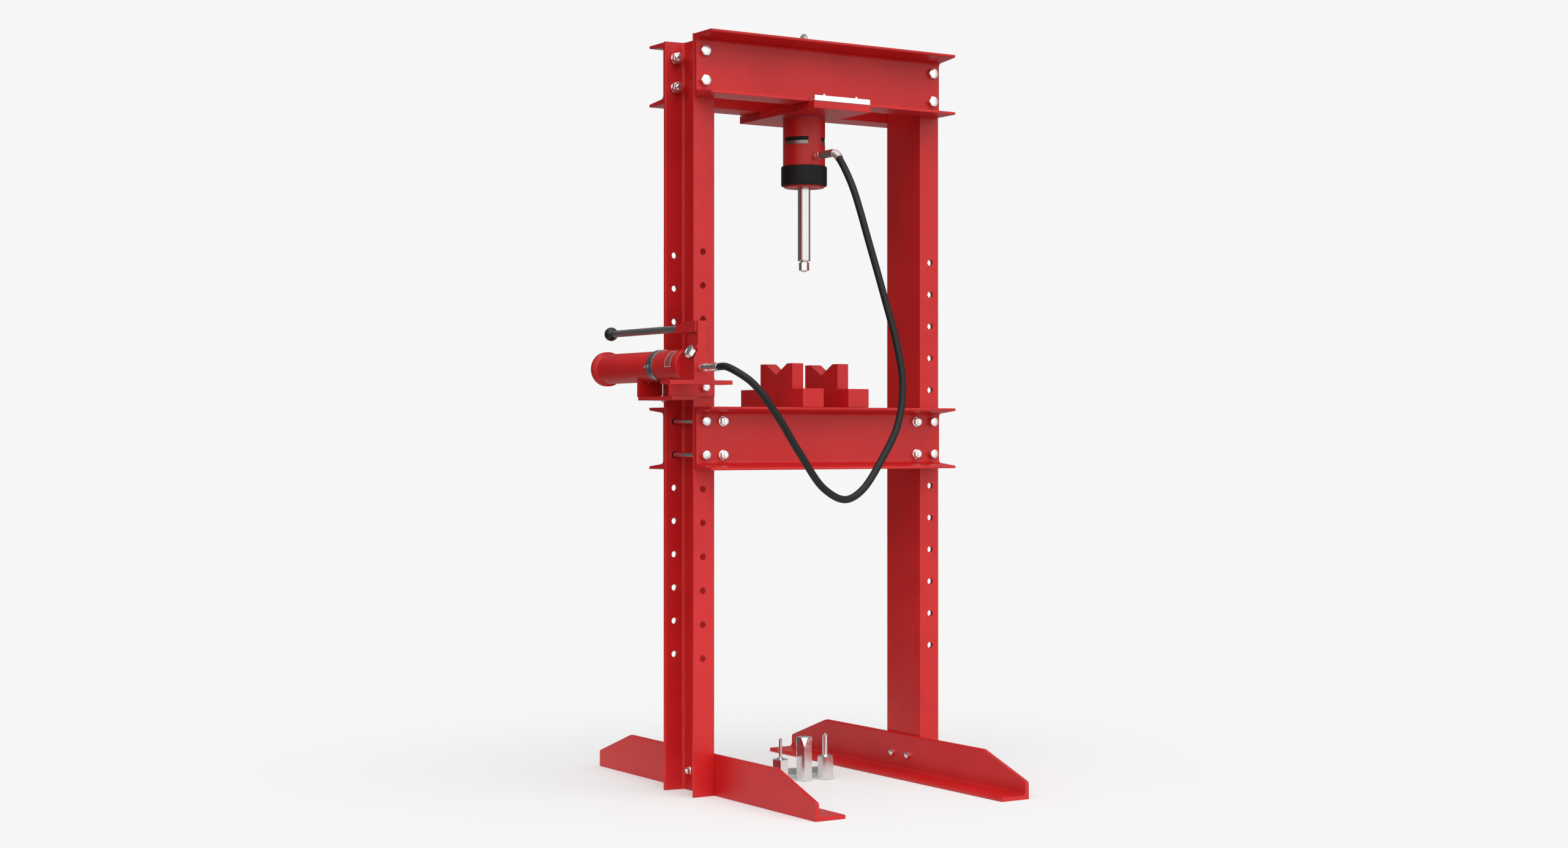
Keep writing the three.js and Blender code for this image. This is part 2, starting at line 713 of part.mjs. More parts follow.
// A shelf under the pump between two plates that cradle it and straddle the column, bolted
// through the hole ladder.
function pumpBracket() {
  const innerX = TIP_X - GAP;
  const back = COLUMN_DEPTH / 2 + GAP;
  const shelf = union([
    box(BRACKET_LEFT, innerX, SHELF_FRONT, back + 1, SHELF_BOTTOM, SHELF_TOP),
    box(BRACKET_LEFT, BRACKET_RIGHT, -back - BRACKET_PLATE, -back, SHELF_TOP - 0.5, BRACKET_TOP),
    box(BRACKET_LEFT, BRACKET_RIGHT, back, back + BRACKET_PLATE, SHELF_TOP - 0.5, BRACKET_TOP),
  ]);
  return cut(shelf, [
    bar(PUMP_NOSE_RADIUS + GAP, [PUMP_X, -back - 20, PUMP_Z], [PUMP_X, 0, PUMP_Z], ROUND_SIDES),
    bar(RESERVOIR_RADIUS + GAP, [PUMP_X, 0, PUMP_Z], [PUMP_X, back + 20, PUMP_Z], ROUND_SIDES),
    crossHole(-HOLE_X, holeZ(PUMP_BOLT_STEP), BRACKET_BOLT_RADIUS + GAP),
    bar(STUD_RADIUS + GAP, [PUMP_X, STUD_Y, SHELF_BOTTOM - 1], [PUMP_X, STUD_Y, SHELF_TOP + 1], 8),
  ]);
}

function bracketBolt(face) {
  const z = holeZ(PUMP_BOLT_STEP);
  const at = (y) => [-HOLE_X, face * y, z];
  const outside = COLUMN_DEPTH / 2 + GAP + BRACKET_PLATE + GAP;
  const inner = flangeInnerY(HOLE_X - 14) - 2.2;
  return union([
    bar(BRACKET_BOLT_HEAD_RADIUS, at(outside), at(outside + BRACKET_BOLT_HEAD_LENGTH), 16),
    bar(BRACKET_BOLT_RADIUS, at(outside + 1), at(inner - 16), SHANK_SIDES),
    bar(13, at(inner), at(inner - 2.5), 12),
    hexagon(22, at(inner - 2), at(inner - 13)),
  ]);
}

// The oil tank: a tube with a thick rear cap, open at the front where the pump body plugs in.
function reservoir() {
  const front = BAND_FRONT + 0.5;
  const outline = [
    [RESERVOIR_BORE, front],
    [RESERVOIR_RADIUS, front],
    [RESERVOIR_RADIUS, 268],
    [40, 268],
    [40, 274],
    [REAR_CAP_RADIUS, 274],
    [REAR_CAP_RADIUS, RESERVOIR_REAR - 2],
    [REAR_CAP_RADIUS - 2, RESERVOIR_REAR],
    [0, RESERVOIR_REAR],
    [0, 280],
    [RESERVOIR_BORE, 280],
  ];
  return alongY(outline, PUMP_X, PUMP_Z, 24);
}

// A turned piece about an axis along Y. The profile is a closed list of [radius, y].
function alongY(profile, x, z, segments) {
  const points = profile.map(([radius, y]) => new THREE.Vector2(radius, y));
  const geometry = new THREE.LatheGeometry([...points, points[0]], segments);
  geometry.translate(x, 0, z);
  return solid(geometry);
}

// The release valve stands square on the left shoulder of the pump block.
const SHOULDER_RISE = SHOULDER_TOP - SHOULDER_BOTTOM;
const VALVE_DIRECTION = new THREE.Vector3(-SHOULDER_RISE, 0, PUMP_BLOCK_HALF - POST_HALF).normalize();
const VALVE_SEAT = new THREE.Vector3(
  PUMP_X - (PUMP_BLOCK_HALF + POST_HALF) / 2, VALVE_Y, (SHOULDER_BOTTOM + SHOULDER_TOP) / 2);
const VALVE_STEM_RADIUS = 6;
const VALVE_STANDOFF = 3.7;
const valveAt = (distance) => VALVE_SEAT.clone().addScaledVector(VALVE_DIRECTION, distance).toArray();

// The pump casting: a round nose, a front block that narrows into the lever post, and a foot.
function pumpBody() {
  const nose = alongY([
    [0, PUMP_BLOCK_REAR - 4],
    [PUMP_NOSE_RADIUS, PUMP_BLOCK_REAR - 4],
    [PUMP_NOSE_RADIUS, BAND_FRONT - 1],
    [RESERVOIR_BORE - GAP, BAND_FRONT - 1],
    [RESERVOIR_BORE - GAP, BAND_REAR],
    [0, BAND_REAR],
  ], PUMP_X, PUMP_Z, 24);
  const footTop = PUMP_FOOT_BOTTOM + 9.8;
  const lower = new THREE.Shape();
  lower.moveTo(PUMP_X - PUMP_BLOCK_HALF, footTop - 1);
  lower.lineTo(PUMP_X + PUMP_BLOCK_HALF, footTop - 1);
  lower.lineTo(PUMP_X + PUMP_BLOCK_HALF, SHOULDER_BOTTOM);
  lower.lineTo(PUMP_X + POST_HALF, SHOULDER_TOP);
  lower.lineTo(PUMP_X - POST_HALF, SHOULDER_TOP);
  lower.lineTo(PUMP_X - PUMP_BLOCK_HALF, SHOULDER_BOTTOM);
  lower.closePath();
  const length = PUMP_BLOCK_REAR - PUMP_BLOCK_FRONT;
  const block = extruded(lower, length, X_AXIS, Z_AXIS, new THREE.Vector3(0, PUMP_BLOCK_REAR, 0));
  const [postLeft, postRight] = [PUMP_X - POST_HALF, PUMP_X + POST_HALF];
  const post = box(postLeft, postRight, PUMP_BLOCK_FRONT, POST_REAR, SHOULDER_TOP - 1, POST_TOP);
  const [footLeft, footRight] = [PUMP_X - PUMP_FOOT_HALF, PUMP_X + PUMP_FOOT_HALF];
  const base = box(footLeft, footRight, PUMP_BLOCK_FRONT, POST_REAR, PUMP_FOOT_BOTTOM, footTop);
  return cut(union([nose, block, post, base]), [
    bar(VALVE_STEM_RADIUS + GAP, valveAt(-22), valveAt(1), 24),
    bar(PLUNGER_RADIUS + GAP, [PUMP_X, PLUNGER_Y, PLUNGER_BOTTOM - 3], [PUMP_X, PLUNGER_Y, 1060], 12),
    leverPinHole(),
  ]);
}

function leverPinHole() {
  const radius = LEVER_PIN_RADIUS + GAP;
  const [left, right] = [PUMP_X - 20, PUMP_X + 20];
  return bar(radius, [left, LEVER_PIVOT_Y, LEVER_PIVOT_Z], [right, LEVER_PIVOT_Y, LEVER_PIVOT_Z], 12);
}

function clampBand() {
  const inner = PUMP_NOSE_RADIUS + 0.2;
  const outer = inner + 1.9;
  const ring = alongY([
    [inner, BAND_FRONT], [outer, BAND_FRONT], [outer, BAND_REAR], [inner, BAND_REAR],
  ], PUMP_X, PUMP_Z, 24);
  const tailTop = PUMP_Z - outer + 0.8;
  return union([
    ring,
    box(PUMP_X - outer - 6, PUMP_X - outer + 0.8, 4, 22, PUMP_Z - 8, PUMP_Z + 6),
    bar(STUD_RADIUS, [PUMP_X, STUD_Y, SHELF_BOTTOM - 5.5], [PUMP_X, STUD_Y, tailTop], 8),
    hexagon(7, [PUMP_X, STUD_Y, SHELF_TOP + GAP], [PUMP_X, STUD_Y, SHELF_TOP + 4]),
    hexagon(7, [PUMP_X, STUD_Y, SHELF_BOTTOM - 4], [PUMP_X, STUD_Y, SHELF_BOTTOM - GAP]),
  ]);
}

function releaseValve() {
  return union([
    hexagon(27, valveAt(VALVE_STANDOFF), valveAt(VALVE_STANDOFF + 9)),
    bar(13.3, valveAt(VALVE_STANDOFF + 8.9), valveAt(VALVE_STANDOFF + 10.8), 16, 11.5),
    bar(VALVE_STEM_RADIUS, valveAt(-20), valveAt(VALVE_STANDOFF + 1), 24),
  ]);
}

// The lever: a solid socket for the handle, forked in front into two cheeks beside the post.
function lever() {
  const side = new THREE.Shape();
  side.moveTo(LEVER_FRONT, LEVER_BOTTOM);
  side.lineTo(LEVER_REAR, LEVER_BOTTOM);
  side.lineTo(LEVER_REAR, LEVER_BOTTOM + 8);
  side.quadraticCurveTo(LEVER_REAR - 12, LEVER_TOP - 2, LEVER_REAR - 72, LEVER_TOP);
  side.lineTo(LEVER_FRONT, LEVER_TOP);
  side.closePath();
  const leftX = PUMP_X - LEVER_HALF;
  const body = extruded(side, 2 * LEVER_HALF, Y_AXIS, Z_AXIS, new THREE.Vector3(leftX, 0, 0), 6);
  const slotHalf = LEVER_HALF - LEVER_CHEEK;
  const [slotLeft, slotRight] = [PUMP_X - slotHalf, PUMP_X + slotHalf];
  return cut(body, [
    box(slotLeft, slotRight, LEVER_FRONT - 1, LEVER_SOLID_FRONT, LEVER_BOTTOM - 1, LEVER_TOP + 1),
    bar(HANDLE_RADIUS + GAP, [PUMP_X, LEVER_REAR + 1, HANDLE_Z], [PUMP_X, -120, HANDLE_Z], 16),
    leverPinHole(),
  ]);
}

function leverPin() {
  const at = (x) => [PUMP_X + x, LEVER_PIVOT_Y, LEVER_PIVOT_Z];
  return bar(LEVER_PIN_RADIUS, at(GAP - LEVER_HALF), at(LEVER_HALF - GAP), 12);
}

function plunger() {
  return bar(PLUNGER_RADIUS, [PUMP_X, PLUNGER_Y, PLUNGER_BOTTOM], [PUMP_X, PLUNGER_Y, PLUNGER_TOP], 12);
}

function handleBar() {
  return bar(HANDLE_RADIUS, [PUMP_X, -119, HANDLE_Z], [PUMP_X, HANDLE_REAR, HANDLE_Z], 16);
}

function ballGrip() {
  const bore = HANDLE_RADIUS + GAP;
  const mouth = HANDLE_REAR - Math.sqrt(BALL_RADIUS ** 2 - bore ** 2);
  const profile = [[0, HANDLE_REAR + GAP], [bore, HANDLE_REAR + GAP]];
  const start = Math.PI - Math.asin(bore / BALL_RADIUS);
  const arcSteps = 7;
  profile.push([bore, mouth]);
  for (let step = 1; step < arcSteps; step += 1) {
    const angle = start * (1 - step / arcSteps);
    profile.push([BALL_RADIUS * Math.sin(angle), HANDLE_REAR + BALL_RADIUS * Math.cos(angle)]);
  }
  profile.push([0, HANDLE_REAR + BALL_RADIUS]);
  return alongY(profile, PUMP_X, HANDLE_Z, 16);
}

function pumpFitting() {
  const at = (y) => [PUMP_PORT_X, y, PUMP_PORT_Z];
  const start = PUMP_BLOCK_FRONT - GAP;
  return union([
    bar(8, at(start), at(start - 9), 12),
    bar(8, at(start - 8.5), at(start - 12), 16, PUMP_FITTING_RADIUS),
    bar(PUMP_FITTING_RADIUS, at(start - 12), at(PUMP_FITTING_END), 16),
  ]);
}

addMesh("pump_bracket", pumpBracket(), RED);
for (const [name, face] of FACES) {
  addMesh(`bracket_bolt_${name}`, bracketBolt(face), ZINC);
}
addMesh("oil_reservoir", reservoir(), RED);
addMesh("pump_body", pumpBody(), RED);
addMesh("clamp_band", clampBand(), STEEL);
addMesh("release_valve", releaseValve(), ZINC);
addMesh("pump_lever", lever(), RED);
addMesh("lever_pin", leverPin(), ZINC);
addMesh("pump_plunger", plunger(), CHROME);
addMesh("handle_bar", handleBar(), STEEL);
addMesh("ball_grip", ballGrip(), BLACK);
addMesh("pump_hose_fitting", pumpFitting(), ZINC);

// ---------------------------------------------------------------- hose

const hosePoints = HOSE_ROUTE.map((point) => new THREE.Vector3(...point));
const hosePath = new THREE.CatmullRomCurve3(hosePoints, false, "centripetal");
addMesh("hydraulic_hose", swept(hosePath, HOSE_RADIUS, HOSE_SIDES, HOSE_STEPS), RUBBER);

// ---------------------------------------------------------------- table tools

function arborPlate(side) {
  const x = [side * ARBOR_INNER_X, side * (ARBOR_INNER_X + ARBOR_WIDTH)].sort((a, b) => a - b);
  const bottom = TABLE_TOP + GAP;
  return box(x[0], x[1], -ARBOR_HALF_LENGTH, ARBOR_HALF_LENGTH, bottom, bottom + ARBOR_HEIGHT);
}

function vBlock(centre) {
  const bottom = TABLE_TOP + GAP + ARBOR_HEIGHT + GAP;
  const top = bottom + VBLOCK_HEIGHT;
  const side = new THREE.Shape();
  side.moveTo(-VBLOCK_HALF_LENGTH, bottom);
  side.lineTo(VBLOCK_HALF_LENGTH, bottom);
  side.lineTo(VBLOCK_HALF_LENGTH, top);
  side.lineTo(VBLOCK_NOTCH_HALF, top);
  side.lineTo(0, top - VBLOCK_NOTCH_DEPTH);
  side.lineTo(-VBLOCK_NOTCH_HALF, top);
  side.lineTo(-VBLOCK_HALF_LENGTH, top);
  side.closePath();
  const left = centre - VBLOCK_WIDTH / 2;
  return extruded(side, VBLOCK_WIDTH, Y_AXIS, Z_AXIS, new THREE.Vector3(left, 0, 0));
}

SIDES.forEach(([name, side], index) => {
  addMesh(`arbor_plate_${name}`, arborPlate(side), RED);
  addMesh(`v_block_${name}`, vBlock(VBLOCK_X[index]), RED);
});

// ---------------------------------------------------------------- press pins on the floor

// A press tool stands on its hexagonal shank, with a corner of the hexagon towards +X.
function toolShank([x, y], height, endFlats = TOOL_FLATS) {
  const corner = TOOL_FLATS / Math.sqrt(3);
  const geometry = new THREE.CylinderGeometry(endFlats / Math.sqrt(3), corner, height, 6);
  geometry.rotateX(Math.PI / 2);
  geometry.rotateZ(Math.PI / 6);
  geometry.translate(x, y, height / 2);
  return solid(geometry);
}

function pressPin([x, y], radius, height) {
  const neck = TOOL_SHOULDER + 3;
  return union([
    toolShank([x, y], TOOL_SHOULDER),
    bar(radius + 3, [x, y, TOOL_SHOULDER - 1], [x, y, neck], 12, radius),
    bar(radius, [x, y, neck - 0.1], [x, y, height - 6], 12),
    bar(radius, [x, y, height - 6.1], [x, y, height], 12, 1.5),
  ]);
}

// The drift punch narrows to its face over the top third.
function driftPunch(at) {
  const taper = 33;
  const top = toolShank(at, taper, TOOL_FLATS * 0.72).translate([0, 0, PUNCH_HEIGHT - taper]);
  return union([toolShank(at, PUNCH_HEIGHT - taper + 0.1), top]);
}

addMesh("press_pin_thin", pressPin(THIN_PIN_AT, 4, 109), STEEL);
addMesh("press_pin_thick", pressPin(THICK_PIN_AT, 7.5, 114), STEEL);
addMesh("drift_punch", driftPunch(PUNCH_AT), STEEL);

// The pump hangs out on the left, so the press stands off centre over the middle of its own box.
const leftmost = PUMP_X - PUMP_FOOT_HALF;
const rightmost = COLUMN_WEB_X + COLUMN_WIDTH;
press.position.x = -(leftmost + rightmost) / 2;

export default press;
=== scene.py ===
"""The looks of a hydraulic shop press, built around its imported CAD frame.

Pieces are drawn in millimetres about the middle of the press, with X along the beams, Y from front
to rear and Z up from the floor. PLACE then puts them in the frame, in metres.
"""

import math

import bmesh
import bpy
from mathutils import Matrix, Vector


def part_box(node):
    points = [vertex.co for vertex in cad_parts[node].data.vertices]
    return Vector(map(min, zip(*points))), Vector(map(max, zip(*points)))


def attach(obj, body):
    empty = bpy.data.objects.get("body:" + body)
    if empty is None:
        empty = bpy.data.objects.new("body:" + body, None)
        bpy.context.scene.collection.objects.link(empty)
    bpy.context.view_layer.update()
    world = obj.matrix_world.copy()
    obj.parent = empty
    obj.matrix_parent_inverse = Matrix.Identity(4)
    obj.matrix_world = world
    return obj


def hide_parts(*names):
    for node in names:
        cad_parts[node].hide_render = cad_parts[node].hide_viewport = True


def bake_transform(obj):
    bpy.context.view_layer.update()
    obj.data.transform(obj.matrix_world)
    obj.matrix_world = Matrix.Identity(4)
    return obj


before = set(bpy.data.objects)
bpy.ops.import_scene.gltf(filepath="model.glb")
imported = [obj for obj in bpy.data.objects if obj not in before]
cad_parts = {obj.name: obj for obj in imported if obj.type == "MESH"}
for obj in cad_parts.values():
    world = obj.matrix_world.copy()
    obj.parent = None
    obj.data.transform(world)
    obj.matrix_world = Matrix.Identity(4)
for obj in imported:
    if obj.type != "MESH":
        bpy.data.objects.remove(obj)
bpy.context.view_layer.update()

MM = 0.001
X = Vector((1, 0, 0))
Y = Vector((0, 1, 0))
Z = Vector((0, 0, 1))
SIDES = (("left", -1), ("right", 1))
FACES = (("front", -1), ("rear", 1))


def press_middle():
    low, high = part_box("ram")
    return (low[0] + high[0]) / 2


PLACE = Matrix.Translation((press_middle(), 0, 0)) @ Matrix.Scale(MM, 4)
LIFT = PLACE.inverted()


def span(node):
    """Lowest and highest corner of a CAD node, in millimetres about the middle of the press."""
    return [LIFT @ Vector(corner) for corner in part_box(node)]


# ---------------------------------------------------------------- camera, floor and light

def make_camera():
    data = bpy.data.cameras.new("view")
    data.lens = 52.85
    data.sensor_width = 36
    data.clip_end = 200
    camera = bpy.data.objects.new("view", data)
    camera.location = PLACE @ Vector((-3072.6, -4765.1, 853.1))
    camera.rotation_euler = [math.radians(angle) for angle in (90.274, 0, -32.315)]
    bpy.context.collection.objects.link(camera)
    bpy.context.scene.camera = camera


class Nodes:
    """A short way to write a node tree: each call adds a node and links what is given to it."""

    def __init__(self, tree):
        self.tree = tree
        tree.nodes.clear()

    def add(self, kind, output=0, settings=None, **inputs):
        node = self.tree.nodes.new(kind)
        for key, value in (settings or {}).items():
            setattr(node, key, value)
        for key, value in inputs.items():
            self.put(node, key.replace("_", " "), value)
        return node.outputs[output]

    def put(self, node, key, value):
        socket = node.inputs[int(key[1:])] if key[0] == "i" and key[1:].isdigit() else node.inputs[key]
        if isinstance(value, bpy.types.NodeSocket):
            self.tree.links.new(value, socket)
        else:
            socket.default_value = value

    def maths(self, operation, first, second=0.0, clamp=False):
        settings = {"operation": operation, "use_clamp": clamp}
        return self.add("ShaderNodeMath", settings=settings, i0=first, i1=second)

    def ramp(self, value, stops, smooth=True):
        node = self.tree.nodes.new("ShaderNodeValToRGB")
        node.color_ramp.interpolation = "EASE" if smooth else "LINEAR"
        elements = node.color_ramp.elements
        while len(elements) < len(stops):
            elements.new(0.5)
        for element, (position, color) in zip(elements, stops):
            element.position = position
            element.color = color if len(color) == 4 else (*color, 1)
        self.tree.links.new(value, node.inputs[0])
        return node.outputs[0]

    def mix(self, factor, first, second):
        node = self.tree.nodes.new("ShaderNodeMix")
        node.data_type = "RGBA"
        for socket, value in ((node.inputs[0], factor), (node.inputs[6], first), (node.inputs[7], second)):
            if isinstance(value, bpy.types.NodeSocket):
                self.tree.links.new(value, socket)
            elif socket.type == "RGBA":
                socket.default_value = (*value, 1)
            else:
                socket.default_value = value
        return node.outputs[2]


BACKGROUND = 0.925
BASE_LIGHT = 0.09
LOBES = (
    ((-0.65, -0.60, 0.55), 1.10, 4.0),
    ((-0.10, -0.30, 1.00), 1.75, 3.0),
    ((0.10, -1.00, 0.30), 0.85, 3.0),
    ((0.60, -0.80, 0.00), 0.62, 6.0),
    ((0.60, 0.75, -0.10), 0.27, 3.0),
)
WHITE = (1, 1, 1, 1)
FLOOR_RADIUS = 2.4
FLOOR_TONE = 0.62
FLOOR_GLOW = 0.23


def make_world():
    """A white studio: broad soft lights, each a lobe of aim, strength and sharpness, on a dim base."""
    world = bpy.data.worlds.new("studio")
    world.use_nodes = True
    bpy.context.scene.world = world
    nodes = Nodes(world.node_tree)
    direction = nodes.add("ShaderNodeTexCoord")
    total = BASE_LIGHT
    for aim, strength, power in LOBES:
        aim = Vector(aim).normalized()
        dot = nodes.add("ShaderNodeVectorMath", 1, {"operation": "DOT_PRODUCT"}, i0=direction, i1=aim)
        share = nodes.maths("POWER", nodes.maths("MAXIMUM", dot, 0.0), power)
        total = nodes.maths("ADD", nodes.maths("MULTIPLY", share, strength), total)
    studio = nodes.add("ShaderNodeBackground", Color=WHITE, Strength=total)
    seen = nodes.add("ShaderNodeBackground", Color=WHITE, Strength=BACKGROUND)
    both = nodes.add("ShaderNodeMixShader", i0=nodes.add("ShaderNodeLightPath"), i1=studio, i2=seen)
    output = world.node_tree.nodes.new("ShaderNodeOutputWorld")
    world.node_tree.links.new(both, output.inputs["Surface"])
    bpy.context.scene.view_settings.view_transform = "Standard"


def make_floor():
    bm = bmesh.new()
    bmesh.ops.create_circle(bm, cap_ends=True, radius=FLOOR_RADIUS, segments=96)
    floor = mesh_object("floor", bm)
    floor.data.materials.append(floor_material())
    floor.location.z = -0.0002


# ---------------------------------------------------------------- shape helpers

def mesh_object(name, bm):
    """A new object from a mesh, with its faces turned outwards, as the booleans need."""
    bmesh.ops.recalc_face_normals(bm, faces=bm.faces)
    if bm.calc_volume(signed=True) < 0:
        bmesh.ops.reverse_faces(bm, faces=bm.faces)
    mesh = bpy.data.meshes.new(name)
    bm.to_mesh(mesh)
    bm.free()
    obj = bpy.data.objects.new(name, mesh)
    bpy.context.collection.objects.link(obj)
    return obj


TURNED_STEP = 15


def rounded(corners, step=12):
    """A closed outline with round corners, in steps of so many degrees.

    Each corner is (x, y) or (x, y, radius).
    """
    outline = []
    count = len(corners)
    for index, corner in enumerate(corners):
        here = Vector(corner[:2])
        radius = corner[2] if len(corner) > 2 else 0
        if radius == 0:
            outline.append(tuple(here))
            continue
        before = (Vector(corners[index - 1][:2]) - here).normalized()
        after = (Vector(corners[(index + 1) % count][:2]) - here).normalized()
        inside = before.angle(after)
        centre = here + (before + after).normalized() * radius / math.sin(inside / 2)
        reach = radius / math.tan(inside / 2)
        start = here + before * reach - centre
        turn = start.angle_signed(here + after * reach - centre)
        steps = max(2, math.ceil(abs(math.degrees(turn)) / step))
        for k in range(steps + 1):
            arm = start.copy()
            arm.rotate(Matrix.Rotation(-turn * k / steps, 2))
            outline.append(tuple(centre + arm))
    return outline


def prism(outline, length, across, up, origin):
    """An outline in the plane of across and up, pushed along the plane's normal."""
    push = across.cross(up) * length
    bm = bmesh.new()
    low = [bm.verts.new(Vector(origin) + across * u + up * v) for u, v in outline]
    high = [bm.verts.new(vert.co + push) for vert in low]
    bm.faces.new(low)
    bm.faces.new(high)
    for index in range(len(low)):
        following = (index + 1) % len(low)
        bm.faces.new((low[index], low[following], high[following], high[index]))
    return mesh_object("prism", bm)


def slab(x0, x1, y0, y1, z0, z1):
    return prism([(x0, y0), (x1, y0), (x1, y1), (x0, y1)], z1 - z0, X, Y, (0, 0, z0))


def axis_frame(origin, axis, spin=0.0):
    turn = Vector(axis).to_track_quat("Z", "Y").to_matrix().to_4x4()
    return Matrix.Translation(origin) @ turn @ Matrix.Rotation(spin, 4, "Z")


def turned(profile, origin=(0, 0, 0), axis=Z, sides=64, spin=0.0):
    """A turned piece. The profile is a closed list of (radius, height) along the axis.

    The line that a profile leaves along the axis is taken out, as a boolean needs a closed skin.
    """
    bm = bmesh.new()
    rings = []
    for radius, height in profile:
        ring = []
        for side in range(sides):
            angle = 2 * math.pi * side / sides
            ring.append(bm.verts.new((radius * math.cos(angle), radius * math.sin(angle), height)))
        rings.append(ring)
    for ring, above in zip(rings, rings[1:] + rings[:1]):
        for side in range(sides):
            following = (side + 1) % sides
            bm.faces.new((ring[side], ring[following], above[following], above[side]))
    bmesh.ops.remove_doubles(bm, verts=bm.verts, dist=1e-4)
    bmesh.ops.delete(bm, geom=[edge for edge in bm.edges if not edge.link_faces], context="EDGES")
    bm.transform(axis_frame(origin, axis, spin))
    return mesh_object("turned", bm)


def rod(radius, start, end, sides=32, chamfer=0.0):
    start, end = Vector(start), Vector(end)
    length = (end - start).length
    low, high = [(radius, 0)], [(radius, length)]
    if chamfer:
        low = [(radius - chamfer, 0), (radius, chamfer)]
        high = [(radius, length - chamfer), (radius - chamfer, length)]
    return turned([(0, 0), *low, *high, (0, length)], start, end - start, sides)


def hexagon(flats, start, end, chamfers=(True, True), spin=0.0):
    """A hexagonal head or nut from start to end, its corners turned off at the chamfered ends."""
    start, end = Vector(start), Vector(end)
    length = (end - start).length
    corner = flats / math.sqrt(3)
    body = turned([(0, 0), (corner, 0), (corner, length), (0, length)], start, end - start, 6, spin)
    wide = corner + 1
    rim = flats * 0.475
    slope = (wide - rim) * math.tan(math.radians(30))
    low = [(rim, 0), (wide, slope)] if chamfers[0] else [(wide, 0)]
    high = [(wide, length - slope), (rim, length)] if chamfers[1] else [(wide, length)]
    corners_off = turned([(0, 0), *low, *high, (0, length)], start, end - start, 48)
    return boolean(body, [corners_off], "INTERSECT")


def threads(radius, start, end, pitch=2.0):
    """The threaded end of a bolt: ridges of half a pitch's depth, and a chamfered tip."""
    start, end = Vector(start), Vector(end)
    length = (end - start).length
    depth = pitch * 0.45
    count = max(1, int((length - pitch) / pitch))
    profile = [(0, 0), (radius, 0)]
    for ridge in range(count):
        profile.append((radius - depth, pitch * (ridge + 0.5)))
        profile.append((radius, pitch * (ridge + 1)))
    profile += [(radius - 2 * depth, length), (0, length)]
    return turned(profile, start, end - start, 24)


def smooth_path(points, steps):
    """Points along a centripetal Catmull-Rom curve through the given points."""
    knots = [Vector(point) for point in points]
    knots = [2 * knots[0] - knots[1], *knots, 2 * knots[-1] - knots[-2]]
    path = []
    for index in range(1, len(knots) - 2):
        a, b, c, d = knots[index - 1:index + 3]
        t0 = 0.0
        t1 = t0 + math.sqrt((b - a).length)
        t2 = t1 + math.sqrt((c - b).length)
        t3 = t2 + math.sqrt((d - c).length)
        for step in range(steps):
            t = t1 + (t2 - t1) * step / steps
            ab = a.lerp(b, (t - t0) / (t1 - t0))
            bc = b.lerp(c, (t - t1) / (t2 - t1))
            cd = c.lerp(d, (t - t2) / (t3 - t2))
            abc = ab.lerp(bc, (t - t0) / (t2 - t0))
            bcd = bc.lerp(cd, (t - t1) / (t3 - t1))
            path.append(abc.lerp(bcd, (t - t1) / (t2 - t1)))
    path.append(knots[-2])
    return path


def tube(path, radius, sides=24):
    """A closed tube along a path. The radius is a number, or a list with one for each point."""
    radii = radius if isinstance(radius, (list, tuple)) else [radius] * len(path)
    bm = bmesh.new()
    rings = []
    normal = None
    for index, point in enumerate(path):
        ahead = path[min(index + 1, len(path) - 1)] - path[max(index - 1, 0)]
        ahead.normalize()
        if normal is None:
            normal = ahead.orthogonal().normalized()
        normal = (normal - ahead * normal.dot(ahead)).normalized()
        other = ahead.cross(normal)
        ring = []
        for side in range(sides):
            angle = 2 * math.pi * side / sides
            arm = normal * math.cos(angle) + other * math.sin(angle)
            ring.append(bm.verts.new(point + arm * radii[index]))
        rings.append(ring)
    for ring, above in zip(rings, rings[1:]):
        for side in range(sides):
            following = (side + 1) % sides
            bm.faces.new((ring[side], ring[following], above[following], above[side]))
    bm.faces.new(rings[0])
    bm.faces.new(rings[-1])
    return mesh_object("tube", bm)


def boolean(base, tools, operation):
    for tool in tools:
        step = base.modifiers.new(operation.lower(), "BOOLEAN")
        step.operation = operation
        step.solver = "EXACT"
        step.object = tool
    bpy.context.view_layer.update()
    shape = base.evaluated_get(bpy.context.evaluated_depsgraph_get())
    mesh = bpy.data.meshes.new_from_object(shape)
    base.modifiers.clear()
    base.data = mesh
    for tool in tools:
        bpy.data.objects.remove(tool)
    return base


def cut(base, *tools):
    return boolean(base, tools, "DIFFERENCE")


def join(base, *tools):
    return boolean(base, tools, "UNION")


# The slot of each material that isn't named after its slot.
SLOTS = {
    "pin_steel": "bare_steel",
    "band_steel": "bare_steel",
    "ring_steel": "bare_steel",
    "elbow_steel": "zinc_plate",
    "label": "red_paint",
    "label_line": "red_paint",
}


def show(obj, name, body, material, nodes=(), bevel=0.0, sharp=35, segments=2, slot=None):
    """Puts a finished piece in the frame: its place, edges, finish and the CAD nodes it stands for."""
    look = material.name.split(".")[0]
    slot = slot or SLOTS.get(look, look)
    obj.name = name
    obj.data.name = name
    obj.data.transform(PLACE)
    obj.data.materials.clear()
    obj.data.materials.append(material)
    obj.data.shade_smooth()
    obj.data.set_sharp_from_angle(angle=math.radians(sharp))
    if bevel:
        edge = obj.modifiers.new("edges", "BEVEL")
        edge.width = bevel * MM
        edge.segments = segments
        edge.limit_method = "ANGLE"
        edge.angle_limit = math.radians(sharp)
        edge.harden_normals = True
        edge.use_clamp_overlap = True
    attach(obj, body)
    if nodes:
        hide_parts(*nodes)
    return obj


# ---------------------------------------------------------------- materials

